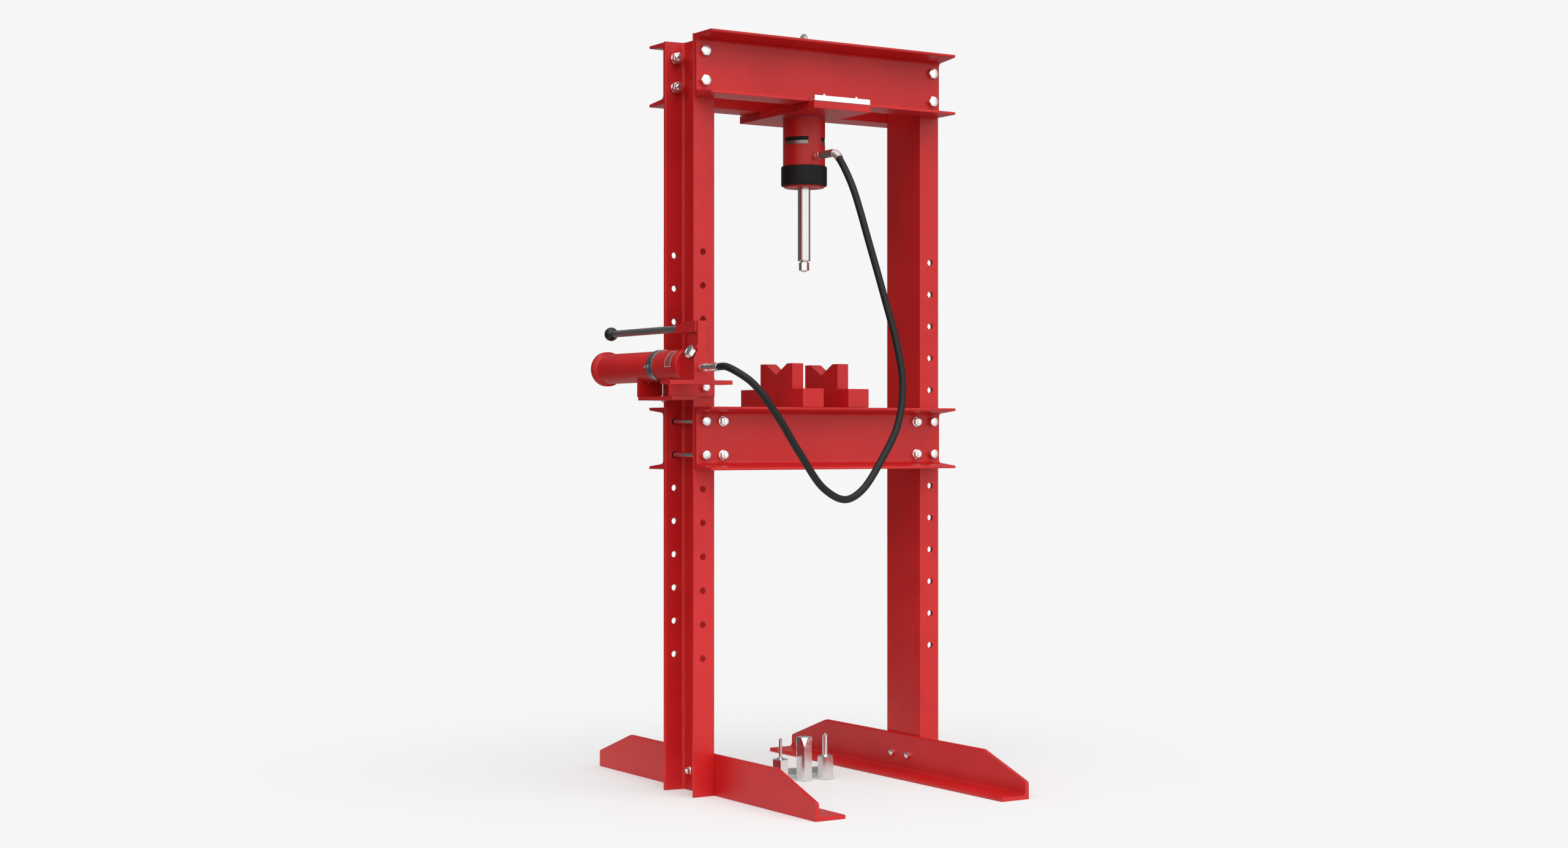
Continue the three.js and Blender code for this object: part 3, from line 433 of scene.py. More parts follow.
def principled(name, **values):
    """A material with a Principled shader whose plain values sit on its own sockets."""
    material = bpy.data.materials.new(name)
    material.use_nodes = True
    nodes = Nodes(material.node_tree)
    shader = material.node_tree.nodes.new("ShaderNodeBsdfPrincipled")
    for key, value in values.items():
        shader.inputs[key.replace("_", " ")].default_value = value
    output = material.node_tree.nodes.new("ShaderNodeOutputMaterial")
    material.node_tree.links.new(shader.outputs[0], output.inputs[0])
    return material, nodes, shader


def noise(nodes, scale, detail=3.0, stretch=None, roughness=0.55):
    place = nodes.add("ShaderNodeTexCoord", 3)
    if stretch:
        place = nodes.add("ShaderNodeMapping", i0=place, Scale=stretch)
    return nodes.add("ShaderNodeTexNoise", Vector=place, Scale=scale, Detail=detail, Roughness=roughness)


def bump(nodes, shader, height, distance, strength=1.0):
    raised = nodes.add("ShaderNodeBump", Strength=strength, Distance=distance, Height=height)
    nodes.put(shader, "Normal", raised)


def edge_mask(nodes, radius):
    """White along convex and concave edges, from how far a rounded normal leans away from the true one."""
    soft = nodes.add("ShaderNodeBevel", settings={"samples": 6}, Radius=radius)
    true = nodes.add("ShaderNodeNewGeometry", 1)
    lean = nodes.add("ShaderNodeVectorMath", 1, {"operation": "DOT_PRODUCT"}, i0=soft, i1=true)
    return nodes.maths("SUBTRACT", 1.0, lean, clamp=True)


def red_paint():
    material, nodes, shader = principled("red_paint", Specular_IOR_Level=0.38)
    cloud = noise(nodes, 7, 4)
    speck = noise(nodes, 90, 5, roughness=0.7)
    patches = nodes.ramp(cloud, [(0.3, (0, 0, 0)), (0.7, (1, 1, 1))])
    color = nodes.mix(patches, (0.50, 0.008, 0.009), (0.57, 0.012, 0.013))
    # Darker along the edges the mask finds: worn paint on convex edges, and painted shade in the concave
    # corners and creases.
    edge_wear_and_crease_shade = nodes.maths("MULTIPLY", nodes.maths("MULTIPLY", edge_mask(nodes, 0.0025), 5.0), speck, clamp=True)
    color = nodes.mix(edge_wear_and_crease_shade, color, (0.16, 0.035, 0.035))
    nodes.put(shader, "Base Color", color)
    gloss = nodes.ramp(speck, [(0.2, (0.34, 0.34, 0.34)), (0.8, (0.44, 0.44, 0.44))])
    nodes.put(shader, "Roughness", gloss)
    bump(nodes, shader, noise(nodes, 420, 2), 0.0001, 0.25)
    return material


def metal(name, color, roughness, grain=(1, 1, 1), grain_scale=300, depth=0.00005, spread=0.08, shade=0.85):
    material, nodes, shader = principled(name, Metallic=1.0)
    lines = noise(nodes, grain_scale, 4, grain)
    blotch = noise(nodes, 35, 4)
    dark = tuple(channel * shade for channel in color)
    nodes.put(shader, "Base Color", nodes.mix(blotch, dark, color))
    low, high = roughness - spread, roughness + spread
    nodes.put(shader, "Roughness", nodes.ramp(lines, [(0.3, (low,) * 3), (0.7, (high,) * 3)]))
    bump(nodes, shader, lines, depth, 0.5)
    return material


def dielectric(name, color, roughness, scale, depth, lighter, shine=0.5):
    material, nodes, shader = principled(name, Specular_IOR_Level=shine)
    grain = noise(nodes, scale, 3)
    nodes.put(shader, "Base Color", nodes.mix(grain, color, lighter))
    gloss = nodes.ramp(grain, [(0.3, (roughness,) * 3), (0.7, (roughness + 0.12,) * 3)])
    nodes.put(shader, "Roughness", gloss)
    bump(nodes, shader, grain, depth, 0.6)
    return material


def floor_material():
    """Softly glowing matt white, so that shadows stay light. It fades out towards its rim."""
    material, nodes, shader = principled(
        "floor", Roughness=1.0, Specular_IOR_Level=0.0, Emission_Color=WHITE, Emission_Strength=FLOOR_GLOW)
    tone = nodes.mix(noise(nodes, 60, 2), (FLOOR_TONE,) * 3, (FLOOR_TONE + 0.004,) * 3)
    nodes.put(shader, "Base Color", tone)
    place = nodes.add("ShaderNodeTexCoord", 3)
    radius = nodes.add("ShaderNodeVectorMath", 1, {"operation": "LENGTH"}, i0=place)
    share = nodes.maths("DIVIDE", radius, FLOOR_RADIUS)
    fade = nodes.ramp(share, [(0.30, (1, 1, 1)), (0.97, (0, 0, 0))])
    nodes.put(shader, "Alpha", fade)
    return material


RED = red_paint()
ZINC = metal("zinc_plate", (0.88, 0.88, 0.87), 0.26, spread=0.05, shade=0.96)
PIN_STEEL = metal("pin_steel", (0.80, 0.80, 0.79), 0.18, spread=0.06, shade=0.94)
CHROME = metal("chrome_rod", (0.76, 0.75, 0.74), 0.2, (1, 1, 0.02), 500, 0.00002, 0.05, 0.95)
STEEL = metal("bare_steel", (0.50, 0.49, 0.48), 0.32, (1, 0.05, 1), 400)
BAND = metal("band_steel", (0.42, 0.39, 0.39), 0.3, grain_scale=400)
ELBOW = metal("elbow_steel", (0.62, 0.55, 0.53), 0.42, grain_scale=400)
BRIGHT = metal("bright_steel", (0.9, 0.9, 0.9), 0.3, (0.05, 1, 1), 500, 0.00003)
RING = metal("ring_steel", (0.34, 0.29, 0.27), 0.42)
BLACK = dielectric("black_coating", (0.006, 0.006, 0.006), 0.5, 600, 0.0001, (0.010, 0.010, 0.010), 0.22)
BALL = dielectric("black_plastic", (0.008, 0.008, 0.008), 0.16, 60, 0.00002, (0.01, 0.01, 0.01))
RUBBER = dielectric("hose_rubber", (0.006, 0.006, 0.006), 0.42, 900, 0.0001, (0.011, 0.011, 0.011), 0.3)
LABEL = dielectric("label", (0.30, 0.05, 0.05), 0.3, 200, 0.00003, (0.33, 0.06, 0.06))
LABEL_LINE = dielectric("label_line", (0.55, 0.50, 0.50), 0.4, 200, 0.00003, (0.6, 0.55, 0.55))


# ---------------------------------------------------------------- frame

GAP = 0.3
FLANGE_SLOPE = 0.1
COLUMN_WEB = 6.5
COLUMN_TIP = 7
BEAM_WEB = 7.5
BEAM_TIP = 6.6
HOLE_X = 330.4
HOLE_FIRST_Z = 325.8
HOLE_PITCH = 80
HOLE_COUNT = 13
HOLE_RADIUS = 8
FRAME_BOLT_RADIUS = 8
FRAME_BOLT_Z = (1689.4, 1759.7)
TABLE_PIN_STEPS = (6, 7)
PUMP_BOLT_STEP = 8
TIE_X = 281
TIE_RADIUS = 6
PIN_RADIUS = 6
FOOT_BOLT_RADIUS = 5
FOOT_BOLT_Y = 33.6
FOOT_BOLT_Z = 47.5


def hole_z(step):
    return HOLE_FIRST_Z + HOLE_PITCH * step


def channel_outline(depth, width, web, tip):
    half = depth / 2
    root = tip + FLANGE_SLOPE * (width - web)
    return rounded([
        (0, -half, 1),
        (width, -half, 0.8),
        (width, -half + tip, 3.6),
        (web, -half + root, 9),
        (web, half - root, 9),
        (width, half - tip, 3.6),
        (width, half, 0.8),
        (0, half, 1),
    ])


def cross_hole(x, z, radius):
    return rod(radius, (x, -200, z), (x, 200, z))


def foot_bolt_holes(side):
    return [rod(FOOT_BOLT_RADIUS + GAP, (side * 250, y, FOOT_BOLT_Z), (side * 340, y, FOOT_BOLT_Z))
            for y in (-FOOT_BOLT_Y, FOOT_BOLT_Y)]


def column(name, side):
    low, high = span(f"column_{name}")
    web = min(abs(low.x), abs(high.x))
    outline = channel_outline(high.y - low.y, high.x - low.x, COLUMN_WEB, COLUMN_TIP)
    body = prism(outline, high.z, X * side, Y * side, (side * web, 0, 0))
    holes = [cross_hole(side * HOLE_X, hole_z(step), HOLE_RADIUS) for step in range(HOLE_COUNT)]
    holes += [cross_hole(side * HOLE_X, z, FRAME_BOLT_RADIUS + GAP) for z in FRAME_BOLT_Z]
    cut(body, *holes, *foot_bolt_holes(side))
    show(body, f"{name}_column", "frame", RED, [f"column_{name}"], bevel=0.7)


def beam(kind, name, face, holes):
    low, high = span(f"{kind}_beam_{name}")
    back = min(abs(low.y), abs(high.y))
    outline = channel_outline(high.z - low.z, high.y - low.y, BEAM_WEB, BEAM_TIP)
    origin = (-face * high.x, face * back, (low.z + high.z) / 2)
    body = prism(outline, 2 * high.x, Y * face, Z, origin)
    cut(body, *[cross_hole(x, z, radius) for x, z, radius in holes])
    show(body, f"{kind}_channel_{name}", "frame", RED, [f"{kind}_beam_{name}"], bevel=0.7)


def foot(name, side):
    low, high = span(f"foot_{name}")
    outer = max(abs(low.x), abs(high.x))
    width = high.x - low.x
    end = high.y
    section = rounded([
        (0, 0, 1), (width, 0, 0.8), (width, 10, 4), (10, 10, 9), (10, high.z, 4), (0, high.z, 1),
    ])
    body = prism(section, 2 * end, -X * side, Z, (side * outer, -side * end, 0))
    profile = rounded([
        (-end, -1), (end, -1), (end, 40.6, 7),
        (343, high.z + 0.01, 14), (-343, high.z + 0.01, 14), (-end, 40.6, 7),
    ])
    sides = prism(profile, 2 * outer, Y, Z, (-outer, 0, 0))
    boolean(body, [sides], "INTERSECT")
    cut(body, *foot_bolt_holes(side))
    show(body, f"{name}_foot", "frame", RED, [f"foot_{name}"], bevel=0.9)


def frame_pieces():
    pin_z = [hole_z(step) for step in TABLE_PIN_STEPS]
    top = [(side * HOLE_X, z, FRAME_BOLT_RADIUS + GAP) for _, side in SIDES for z in FRAME_BOLT_Z]
    table = [(side * HOLE_X, z, PIN_RADIUS + 1) for _, side in SIDES for z in pin_z]
    table += [(side * TIE_X, z, TIE_RADIUS + GAP) for _, side in SIDES for z in pin_z]
    for name, side in SIDES:
        column(name, side)
        foot(name, side)
    for name, face in FACES:
        beam("top", name, face, top)
        beam("table", name, face, table)


# ---------------------------------------------------------------- fasteners

def copy_of(shape, matrix):
    """A second copy of a finished shape, moved by a matrix in millimetres."""
    twin = shape.copy()
    twin.data = shape.data.copy()
    twin.data.transform(matrix)
    bpy.context.collection.objects.link(twin)
    return twin


def flange_inside(x):
    """How far from the middle plane the column flange's inner face lies, at that x."""
    high = span("column_right")[1]
    return high.y - COLUMN_TIP - FLANGE_SLOPE * (high.x - abs(x))


def frame_bolt_shape():
    """Drawn along +Y from the middle of the press, as the bolts at the rear are."""
    low, high = span("frame_bolt_right_rear_lower")
    head = high.y - 10
    inner = flange_inside(HOLE_X - 14) - 2.2
    shape = hexagon(24, (0, head, 0), (0, high.y, 0), (False, True))
    washer = turned([(0, 0), (13.2, 0), (13.5, 0.4), (13.5, 2.6), (13.2, 3), (0, 3)], (0, inner, 0), -Y, 48)
    nut = hexagon(24, (0, inner - 3.0 + 0.3, 0), (0, inner - 16, 0), (False, True), 0.35)
    shank = rod(FRAME_BOLT_RADIUS, (0, head + 1, 0), (0, inner - 14, 0))
    thread = threads(FRAME_BOLT_RADIUS, (0, inner - 13, 0), (0, low.y, 0))
    return join(shape, shank, washer, nut, thread)


def table_pin_shape():
    low, high = span("table_pin_right_lower")
    head = -(span("table_beam_rear")[0].y + BEAM_WEB + GAP)
    radius = (high.x - low.x) / 2
    face = low.y
    profile = [(0, 0), (radius - 0.4, 0), (radius, 0.4), (radius, head - face - 1.4)]
    profile += [(radius - 0.5, head - face - 0.4), (radius - 1.4, head - face), (0, head - face)]
    shape = turned(profile, (0, head, 0), -Y, 64)
    return join(shape, rod(PIN_RADIUS, (0, head - 1, 0), (0, high.y, 0), chamfer=1.5))


def tie_bolt_shape():
    end = span("tie_bolt_right_lower")[1].y
    outer = span("table_beam_rear")[0].y + BEAM_WEB + GAP
    shape = rod(TIE_RADIUS, (0, -outer, 0), (0, outer, 0))
    parts = [rod(10, (0, -outer + BEAM_WEB + 2 * GAP, 0), (0, outer - BEAM_WEB - 2 * GAP, 0), chamfer=0.5)]
    for face in (-1, 1):
        washer = [(0, 0), (11.8, 0), (12, 0.3), (12, 2.2), (11.8, 2.5), (0, 2.5)]
        parts.append(turned(washer, (0, face * outer, 0), Y * face, 48))
        nut = hexagon(19, (0, face * (outer + 2.3), 0), (0, face * (outer + 12.5), 0), (False, True), 0.5)
        parts.append(nut)
        parts.append(threads(TIE_RADIUS, (0, face * (outer - 1), 0), (0, face * end, 0)))
    return join(shape, *parts)


def foot_bolt_shape():
    """Drawn along +X, as the bolts on the right are."""
    low, high = span("foot_bolt_right_front")
    outer = span("column_right")[0].x + COLUMN_WEB + GAP
    head = low.x
    shape = hexagon(16, (head + 6.5, 0, 0), (head, 0, 0), (False, True))
    washer = turned([(0, 0), (9.8, 0), (10, 0.3), (10, 1.8), (9.8, 2), (0, 2)], (outer, 0, 0), X, 40)
    nut = hexagon(16, (outer + 1.8, 0, 0), (outer + 10, 0, 0), (False, True), 0.3)
    shank = rod(FOOT_BOLT_RADIUS, (head + 5, 0, 0), (outer + 8, 0, 0))
    return join(shape, shank, washer, nut, threads(FOOT_BOLT_RADIUS, (outer + 7, 0, 0), (high.x, 0, 0), 1.5))


def bracket_bolt_shape():
    """Drawn along +Y, as the bolt at the rear is."""
    low, high = span("bracket_bolt_rear")
    head = span("pump_bracket")[1].y + GAP
    inner = flange_inside(HOLE_X - 14) - 2.2
    length = high.y - head
    profile = [(0, 0), (9.6, 0), (10, 0.4), (10, length - 1.4)]
    profile += [(9.4, length - 0.4), (8.6, length), (0, length)]
    shape = turned(profile, (0, head, 0), Y, 56)
    washer = turned([(0, 0), (12.7, 0), (13, 0.3), (13, 2.2), (12.7, 2.5), (0, 2.5)], (0, inner, 0), -Y, 48)
    nut = hexagon(22, (0, inner - 2.3, 0), (0, inner - 13, 0), (False, True), 0.2)
    shank = rod(7.5, (0, head + 1, 0), (0, inner - 11, 0))
    return join(shape, shank, washer, nut, threads(7.5, (0, inner - 10, 0), (0, low.y, 0)))


def fasteners():
    frame_bolt = frame_bolt_shape()
    table_pin = table_pin_shape()
    tie_bolt = tie_bolt_shape()
    foot_bolt = foot_bolt_shape()
    flip_y = Matrix.Rotation(math.pi, 4, "Z")
    for side_name, side in SIDES:
        for face_name, face in FACES:
            turn = flip_y if face < 0 else Matrix.Identity(4)
            for level, z in zip(("lower", "upper"), FRAME_BOLT_Z):
                name = f"frame_bolt_{side_name}_{face_name}_{level}"
                place = Matrix.Translation((side * HOLE_X, 0, z)) @ turn
                show(copy_of(frame_bolt, place), f"bolt_{name}", "frame", ZINC, [name], bevel=0.25)
            name = f"foot_bolt_{side_name}_{face_name}"
            turn = flip_y if side < 0 else Matrix.Identity(4)
            place = Matrix.Translation((0, face * FOOT_BOLT_Y, FOOT_BOLT_Z)) @ turn
            show(copy_of(foot_bolt, place), f"bolt_{name}", "frame", ZINC, [name], bevel=0.2)
        for level, step in zip(("lower", "upper"), TABLE_PIN_STEPS):
            name = f"table_pin_{side_name}_{level}"
            place = Matrix.Translation((side * HOLE_X, 0, hole_z(step)))
            show(copy_of(table_pin, place), f"round_{name}", name, PIN_STEEL, [name], slot="zinc_plate")
            name = f"tie_bolt_{side_name}_{level}"
            place = Matrix.Translation((side * TIE_X, 0, hole_z(step)))
            show(copy_of(tie_bolt, place), f"long_{name}", "frame", ZINC, [name], bevel=0.2)
    bracket_bolt = bracket_bolt_shape()
    for face_name, face in FACES:
        turn = flip_y if face < 0 else Matrix.Identity(4)
        place = Matrix.Translation((-HOLE_X, 0, hole_z(PUMP_BOLT_STEP))) @ turn
        name = f"bracket_bolt_{face_name}"
        show(copy_of(bracket_bolt, place), f"round_{name}", "frame", ZINC, [name])
    for shape in (frame_bolt, table_pin, tie_bolt, foot_bolt, bracket_bolt):
        bpy.data.objects.remove(shape)


# ---------------------------------------------------------------- sliding head

BARREL_RADIUS = 52
NECK_RADIUS = 45
BORE_RADIUS = 35
BARREL_BOTTOM = 1480
BARREL_TOP = 1790
BORE_TOP = 1757
GROOVE_BOTTOM = 1565
GROOVE_TOP = 1583
RING_TOP = 1573.7
RING_WALL_RADIUS = 48.5
WINDOW = (21, 97)
COLLAR_BOTTOM = 1465
COLLAR_TOP = 1513.5
COLLAR_RADIUS = 56.6
ROD_RADIUS = 15.5
PORT_Z = 1534.7


def head_plate():
    low, high = span("head_plate")
    plate = slab(low.x, high.x, low.y, high.y, low.z, high.z)
    cut(plate, rod(NECK_RADIUS + GAP, (0, 0, low.z - 1), (0, 0, high.z + 1), 64))
    show(plate, "head_plate_steel", "head", RED, ["head_plate"], bevel=1.0)


def guide_bar(name, face):
    low, high = span(f"guide_bar_{name}")
    bar_top = high.z - 5
    outer = face * max(abs(low.y), abs(high.y))
    toe = face * (span("top_beam_rear")[1].y + 0.7)
    lip = min(abs(low.y), abs(high.y)) * face
    step = bar_top - 4.5
    outline = [(toe, low.z), (outer, low.z), (outer, bar_top), (lip, bar_top), (lip, step), (toe, step)]
    bar = prism(outline, 160, Y, Z, (-80, 0, 0))
    show(bar, f"clamp_bar_{name}", "head", BRIGHT, [f"guide_bar_{name}"], bevel=0.6)
    for index, x in enumerate((-46.5, 46.5)):
        at = Vector((x, face * 160, bar_top))
        screw = turned([(0, -6), (4.3, -6), (4.3, 4.4), (3.7, 5), (0, 5)], at, Z, 32)
        cut(screw, turned([(0, 1.8), (2.4, 1.8), (2.4, 6), (0, 6)], at, Z, 6))
        show(screw, f"clamp_screw_{name}_{index}", "head", ZINC, bevel=0.15)


def sector(side, inner, outer, bottom, top, trim=0.0):
    """A piece of ring that fills one window of the barrel wall, `trim` short of it at both ends."""
    margin = math.degrees(trim / BARREL_RADIUS)
    start, end = WINDOW[0] + margin, WINDOW[1] - margin
    steps = 24
    angles = [math.radians(-90 + side * (start + (end - start) * step / steps)) for step in range(steps + 1)]
    outline = [(outer * math.cos(angle), outer * math.sin(angle)) for angle in angles]
    outline += [(inner * math.cos(angle), inner * math.sin(angle)) for angle in reversed(angles)]
    return prism(outline, top - bottom, X, Y, (0, 0, bottom))


def barrel():
    plate_bottom = span("head_plate")[0].z
    shoulder = plate_bottom - GAP
    body = turned([
        (BORE_RADIUS, BARREL_BOTTOM),
        (BARREL_RADIUS - 0.8, BARREL_BOTTOM),
        (BARREL_RADIUS, BARREL_BOTTOM + 0.8),
        (BARREL_RADIUS, GROOVE_BOTTOM - 1.5),
        (BARREL_RADIUS, GROOVE_TOP + 1.5),
        (BARREL_RADIUS, shoulder - 0.8),
        (BARREL_RADIUS - 0.8, shoulder),
        (NECK_RADIUS, shoulder),
        (NECK_RADIUS, BARREL_TOP - 0.8),
        (NECK_RADIUS - 0.8, BARREL_TOP),
        (BORE_RADIUS, BARREL_TOP),
    ], sides=96)
    windows = [sector(side, NECK_RADIUS, BARREL_RADIUS + 1, GROOVE_BOTTOM, GROOVE_TOP) for _, side in SIDES]
    cut(body, *windows, rod(5, (0, -60, PORT_Z), (0, -40, PORT_Z)))
    show(body, "barrel", "head", RED, ["cylinder_barrel"], bevel=0.3)
    seam = turned(weld_bead(BARREL_RADIUS, shoulder, 3.2), sides=96)
    show(seam, "barrel_weld", "head", RED)
    inner, wall, bottom = NECK_RADIUS + GAP, RING_WALL_RADIUS - GAP, GROOVE_BOTTOM + GAP
    ring = turned([(inner, bottom), (wall, bottom), (wall, RING_TOP), (inner, RING_TOP)], sides=96)
    steps = [sector(side, wall - 0.5, BARREL_RADIUS - 0.4, bottom, RING_TOP, 0.6) for _, side in SIDES]
    join(ring, *steps)
    show(ring, "ring", "head", RING, ["retaining_ring"], bevel=0.2)
    for name, side in SIDES:
        # Painted shade: black sheets that fill the groove's gap above the ring in each window, where there is
        # only shade.
        groove_shade_sheet = sector(side, inner, BARREL_RADIUS - 1, RING_TOP + 0.2, GROOVE_TOP - 0.1, 0.2)
        show(groove_shade_sheet, f"ring_groove_shade_fill_{name}", "head", BLACK)


def weld_bead(radius, top, width):
    """The profile of a fillet weld in the corner between a cylinder and the plate above it."""
    points = [(radius - 0.3, top + 0.2), (radius - 0.3, top - width)]
    for step in range(7):
        angle = math.pi / 2 * step / 6
        points.append((radius + width - width * math.cos(angle), top - width + width * math.sin(angle)))
    return points


def collar():
    inner = BARREL_RADIUS + GAP
    body = turned(rounded([
        (inner, COLLAR_BOTTOM),
        (COLLAR_RADIUS, COLLAR_BOTTOM, 3),
        (COLLAR_RADIUS, COLLAR_TOP, 3),
        (inner, COLLAR_TOP),
    ], TURNED_STEP), sides=120)
    show(body, "collar", "head", BLACK, ["cylinder_collar"], sharp=60)


def gland():
    low, high = span("rod_gland")
    bore = ROD_RADIUS + GAP
    body = turned([
        (bore + 1, low.z),
        (22, low.z),
        (22.4, low.z + 0.5),
        (23.2, low.z + 0.5),
        (23.6, low.z),
        (48.5, low.z),
        (50.5, low.z + 2),
        (50.5, COLLAR_BOTTOM + 2),
        (BARREL_RADIUS, COLLAR_BOTTOM + 2),
        (BARREL_RADIUS, high.z),
        (bore, high.z),
        (bore, low.z + 1),
    ], sides=96)
    show(body, "gland", "head", RED, ["rod_gland"], sharp=30)


def cap():
    high = span("cylinder_cap")[1]
    rim = BARREL_TOP + GAP
    top = BARREL_TOP + 12
    body = turned([
        (0, BORE_TOP),
        (BORE_RADIUS - GAP, BORE_TOP),
        (BORE_RADIUS - GAP, rim),
        (NECK_RADIUS, rim),
        (NECK_RADIUS, top - 1.5),
        (NECK_RADIUS - 1.5, top),
        (12, top),
        (12, high.z - 16),
        (10.8, high.z - 15),
        (0, high.z - 15),
    ])
    nut = hexagon(19, (0, 0, high.z - 15.3), (0, 0, high.z - 5), (False, True))
    join(body, nut, threads(6, (0, 0, high.z - 16), (0, 0, high.z)))
    show(body, "cap", "head", STEEL, ["cylinder_cap"], bevel=0.3)


def ram():
    low, high = span("ram")
    piston = BORE_RADIUS - GAP
    head = high.z - 40
    body = turned([
        (0, low.z),
        (ROD_RADIUS - 1.2, low.z),
        (ROD_RADIUS, low.z + 1.6),
        (ROD_RADIUS, head),
        (piston, head),
        (piston, head + 14),
        (piston - 3, head + 14),
        (piston - 3, head + 22),
        (piston, head + 22),
        (piston, high.z),
        (0, high.z),
    ], sides=64)
    show(body, "ram_rod", "ram", CHROME, ["ram"], sharp=30)
    low, high = span("ram_tip")
    flats = high.x - low.x
    corner = flats / math.sqrt(3)
    shoulder = low.z + 4.6
    tip = turned([
        (0, low.z), (2.2, low.z), (corner, shoulder), (corner, high.z - 3), (0, high.z - 3),
    ], sides=6, spin=math.pi / 6)
    neck = turned([
        (0, high.z - 3.4), (9.5, high.z - 3.4), (9, high.z - 2.6), (9, high.z), (0, high.z),
    ], sides=40)
    turn_down = turned([
        (0, low.z - 1), (corner + 2, low.z - 1), (corner + 2, high.z - 4.6),
        (flats * 0.49, high.z - 2.9), (0, high.z - 2.9),
    ])
    boolean(tip, [turn_down], "INTERSECT")
    join(tip, neck)
    show(tip, "tip", "ram", BRIGHT, ["ram_tip"], bevel=0.35, slot="bare_steel")


def elbow():
    """The hose end at the cylinder: an adaptor, its nut, and a bent tube with a crimped ferrule."""
    start = -BARREL_RADIUS - GAP
    straight, radius, turn = 70, 44, math.radians(50)
    adaptor = turned([(0, 0), (7.2, 0), (8, 0.8), (8, 8), (6.4, 9.2), (0, 9.2)], (0, start, PORT_Z), -Y, 48)
    nut = hexagon(16, (0, start - 9, PORT_Z), (0, start - 20.5, PORT_Z), (True, True), 0.3)
    neck = rod(6.4, (0, start - 19, PORT_Z), (0, start - 24, PORT_Z))
    join(adaptor, nut, neck)
    show(adaptor, "elbow_nut", "head", ZINC, ["cylinder_elbow"], bevel=0.3)
    path = []
    radii = []
    first = 21.5
    total = straight - first + radius * turn
    steps = 150
    ribbed = 26
    for step in range(steps + 1):
        along = total * step / steps
        angle = max(0.0, along - (straight - first)) / radius
        forward = min(along, straight - first) + radius * math.sin(angle)
        path.append(Vector((0, start - first - forward, PORT_Z - radius * (1 - math.cos(angle)))))
        left = total - along
        rib = 0.7 * math.sin(2 * math.pi * left / 3.6) if left < ribbed else 0.0
        shoulder = 1.6 * max(0.0, 1 - along / 2.5)
        radii.append(9.5 - shoulder + rib)
    tail = tube(path, radii, 40)
    show(tail, "elbow_tube", "head", ELBOW, sharp=50)


# ---------------------------------------------------------------- hand pump

PUMP_X = -397
PUMP_Z = 1015.6
RESERVOIR_RADIUS = 36.7
NOSE_RADIUS = 37.7
BLOCK_REAR = -118
BLOCK_HALF = 20
POST_HALF = 10
POST_REAR = -134
SHOULDER_BOTTOM = 1033
SHOULDER_TOP = 1050.3
LEVER_PIVOT = (-162, 1104)
PIVOT_RADIUS = 4
LEVER_CHEEK = 4.3
LEVER_SOLID_FRONT = -131
HANDLE_Z = 1101.5
HANDLE_RADIUS = 8.5
PLUNGER_Y = -127.8
PLUNGER_RADIUS = 5.5
STUD_Y = 2
STUD_RADIUS = 2


def at_pump(y, z=PUMP_Z, x=0):
    return Vector((PUMP_X + x, y, z))


def reservoir():
    low, high = span("oil_reservoir")
    rear = high.y
    rim = (high.x - low.x) / 2
    outline = rounded([
        (33.5, low.y),
        (RESERVOIR_RADIUS, low.y, 0.6),
        (RESERVOIR_RADIUS, 268, 1.5),
        (40, 269.5, 1.5),
        (40, 274, 0.8),
        (rim, 274.4, 1.6),
        (rim, rear, 2.2),
        (37.5, rear, 0.8),
        (36, rear - 2.5, 0.8),
        (0, rear - 2.5),
        (0, 280),
        (33.5, 280),
    ], TURNED_STEP)
    tank = turned(outline, (PUMP_X, 0, PUMP_Z), Y, 96)
    show(tank, "tank", "frame", RED, ["oil_reservoir"], sharp=50)
    plug = hexagon(17, at_pump(rear - 3.5, PUMP_Z + 18), at_pump(rear - 0.2, PUMP_Z + 18), (False, True))
    show(plug, "tank_plug", "frame", ZINC, bevel=0.3)


def clamp_band():
    stud_end = span("clamp_band")[0].z
    inner = NOSE_RADIUS + 0.2
    outer = inner + 1.9
    ring = turned(rounded([
        (inner, -11), (outer, -11, 0.7), (outer, 15, 0.7), (inner, 15),
    ], 30), (PUMP_X, 0, PUMP_Z), Y, 96)
    show(ring, "band", "frame", BAND, ["clamp_band"], bevel=0.2)
    house_x = PUMP_X - outer
    house = slab(house_x - 3.4, house_x + 0.4, 2, 12, PUMP_Z - 5, PUMP_Z + 3)
    show(house, "band_housing", "frame", BAND, bevel=1.2, segments=4)
    head = [(0, 0), (2.8, 0), (2.8, 4), (2.2, 4.6), (0, 4.6)]
    screw = turned(head, (house_x - 2.4, 12.2, PUMP_Z - 1), Y, 32)
    cut(screw, slab(house_x - 7, house_x + 2, 15.8, 18, PUMP_Z - 1.5, PUMP_Z - 0.5))
    show(screw, "band_screw", "frame", ZINC, bevel=0.15)
    shelf_bottom, shelf_top = span("pump_bracket")[0].z, span("pump_bracket")[0].z + 8.5
    stud = rod(STUD_RADIUS, (PUMP_X, STUD_Y, PUMP_Z - outer + 0.4), (PUMP_X, STUD_Y, shelf_top + 6))
    join(stud, threads(STUD_RADIUS, (PUMP_X, STUD_Y, shelf_top + 7), (PUMP_X, STUD_Y, stud_end), 1.0))
    show(stud, "band_stud", "frame", ZINC, sharp=40)
    nuts = (("upper", shelf_top + GAP, shelf_top + 4), ("lower", shelf_bottom - 4, shelf_bottom - GAP))
    for name, bottom, top in nuts:
        nut = hexagon(7, (PUMP_X, STUD_Y, bottom), (PUMP_X, STUD_Y, top))
        show(nut, f"stud_nut_{name}", "frame", ZINC, bevel=0.2)


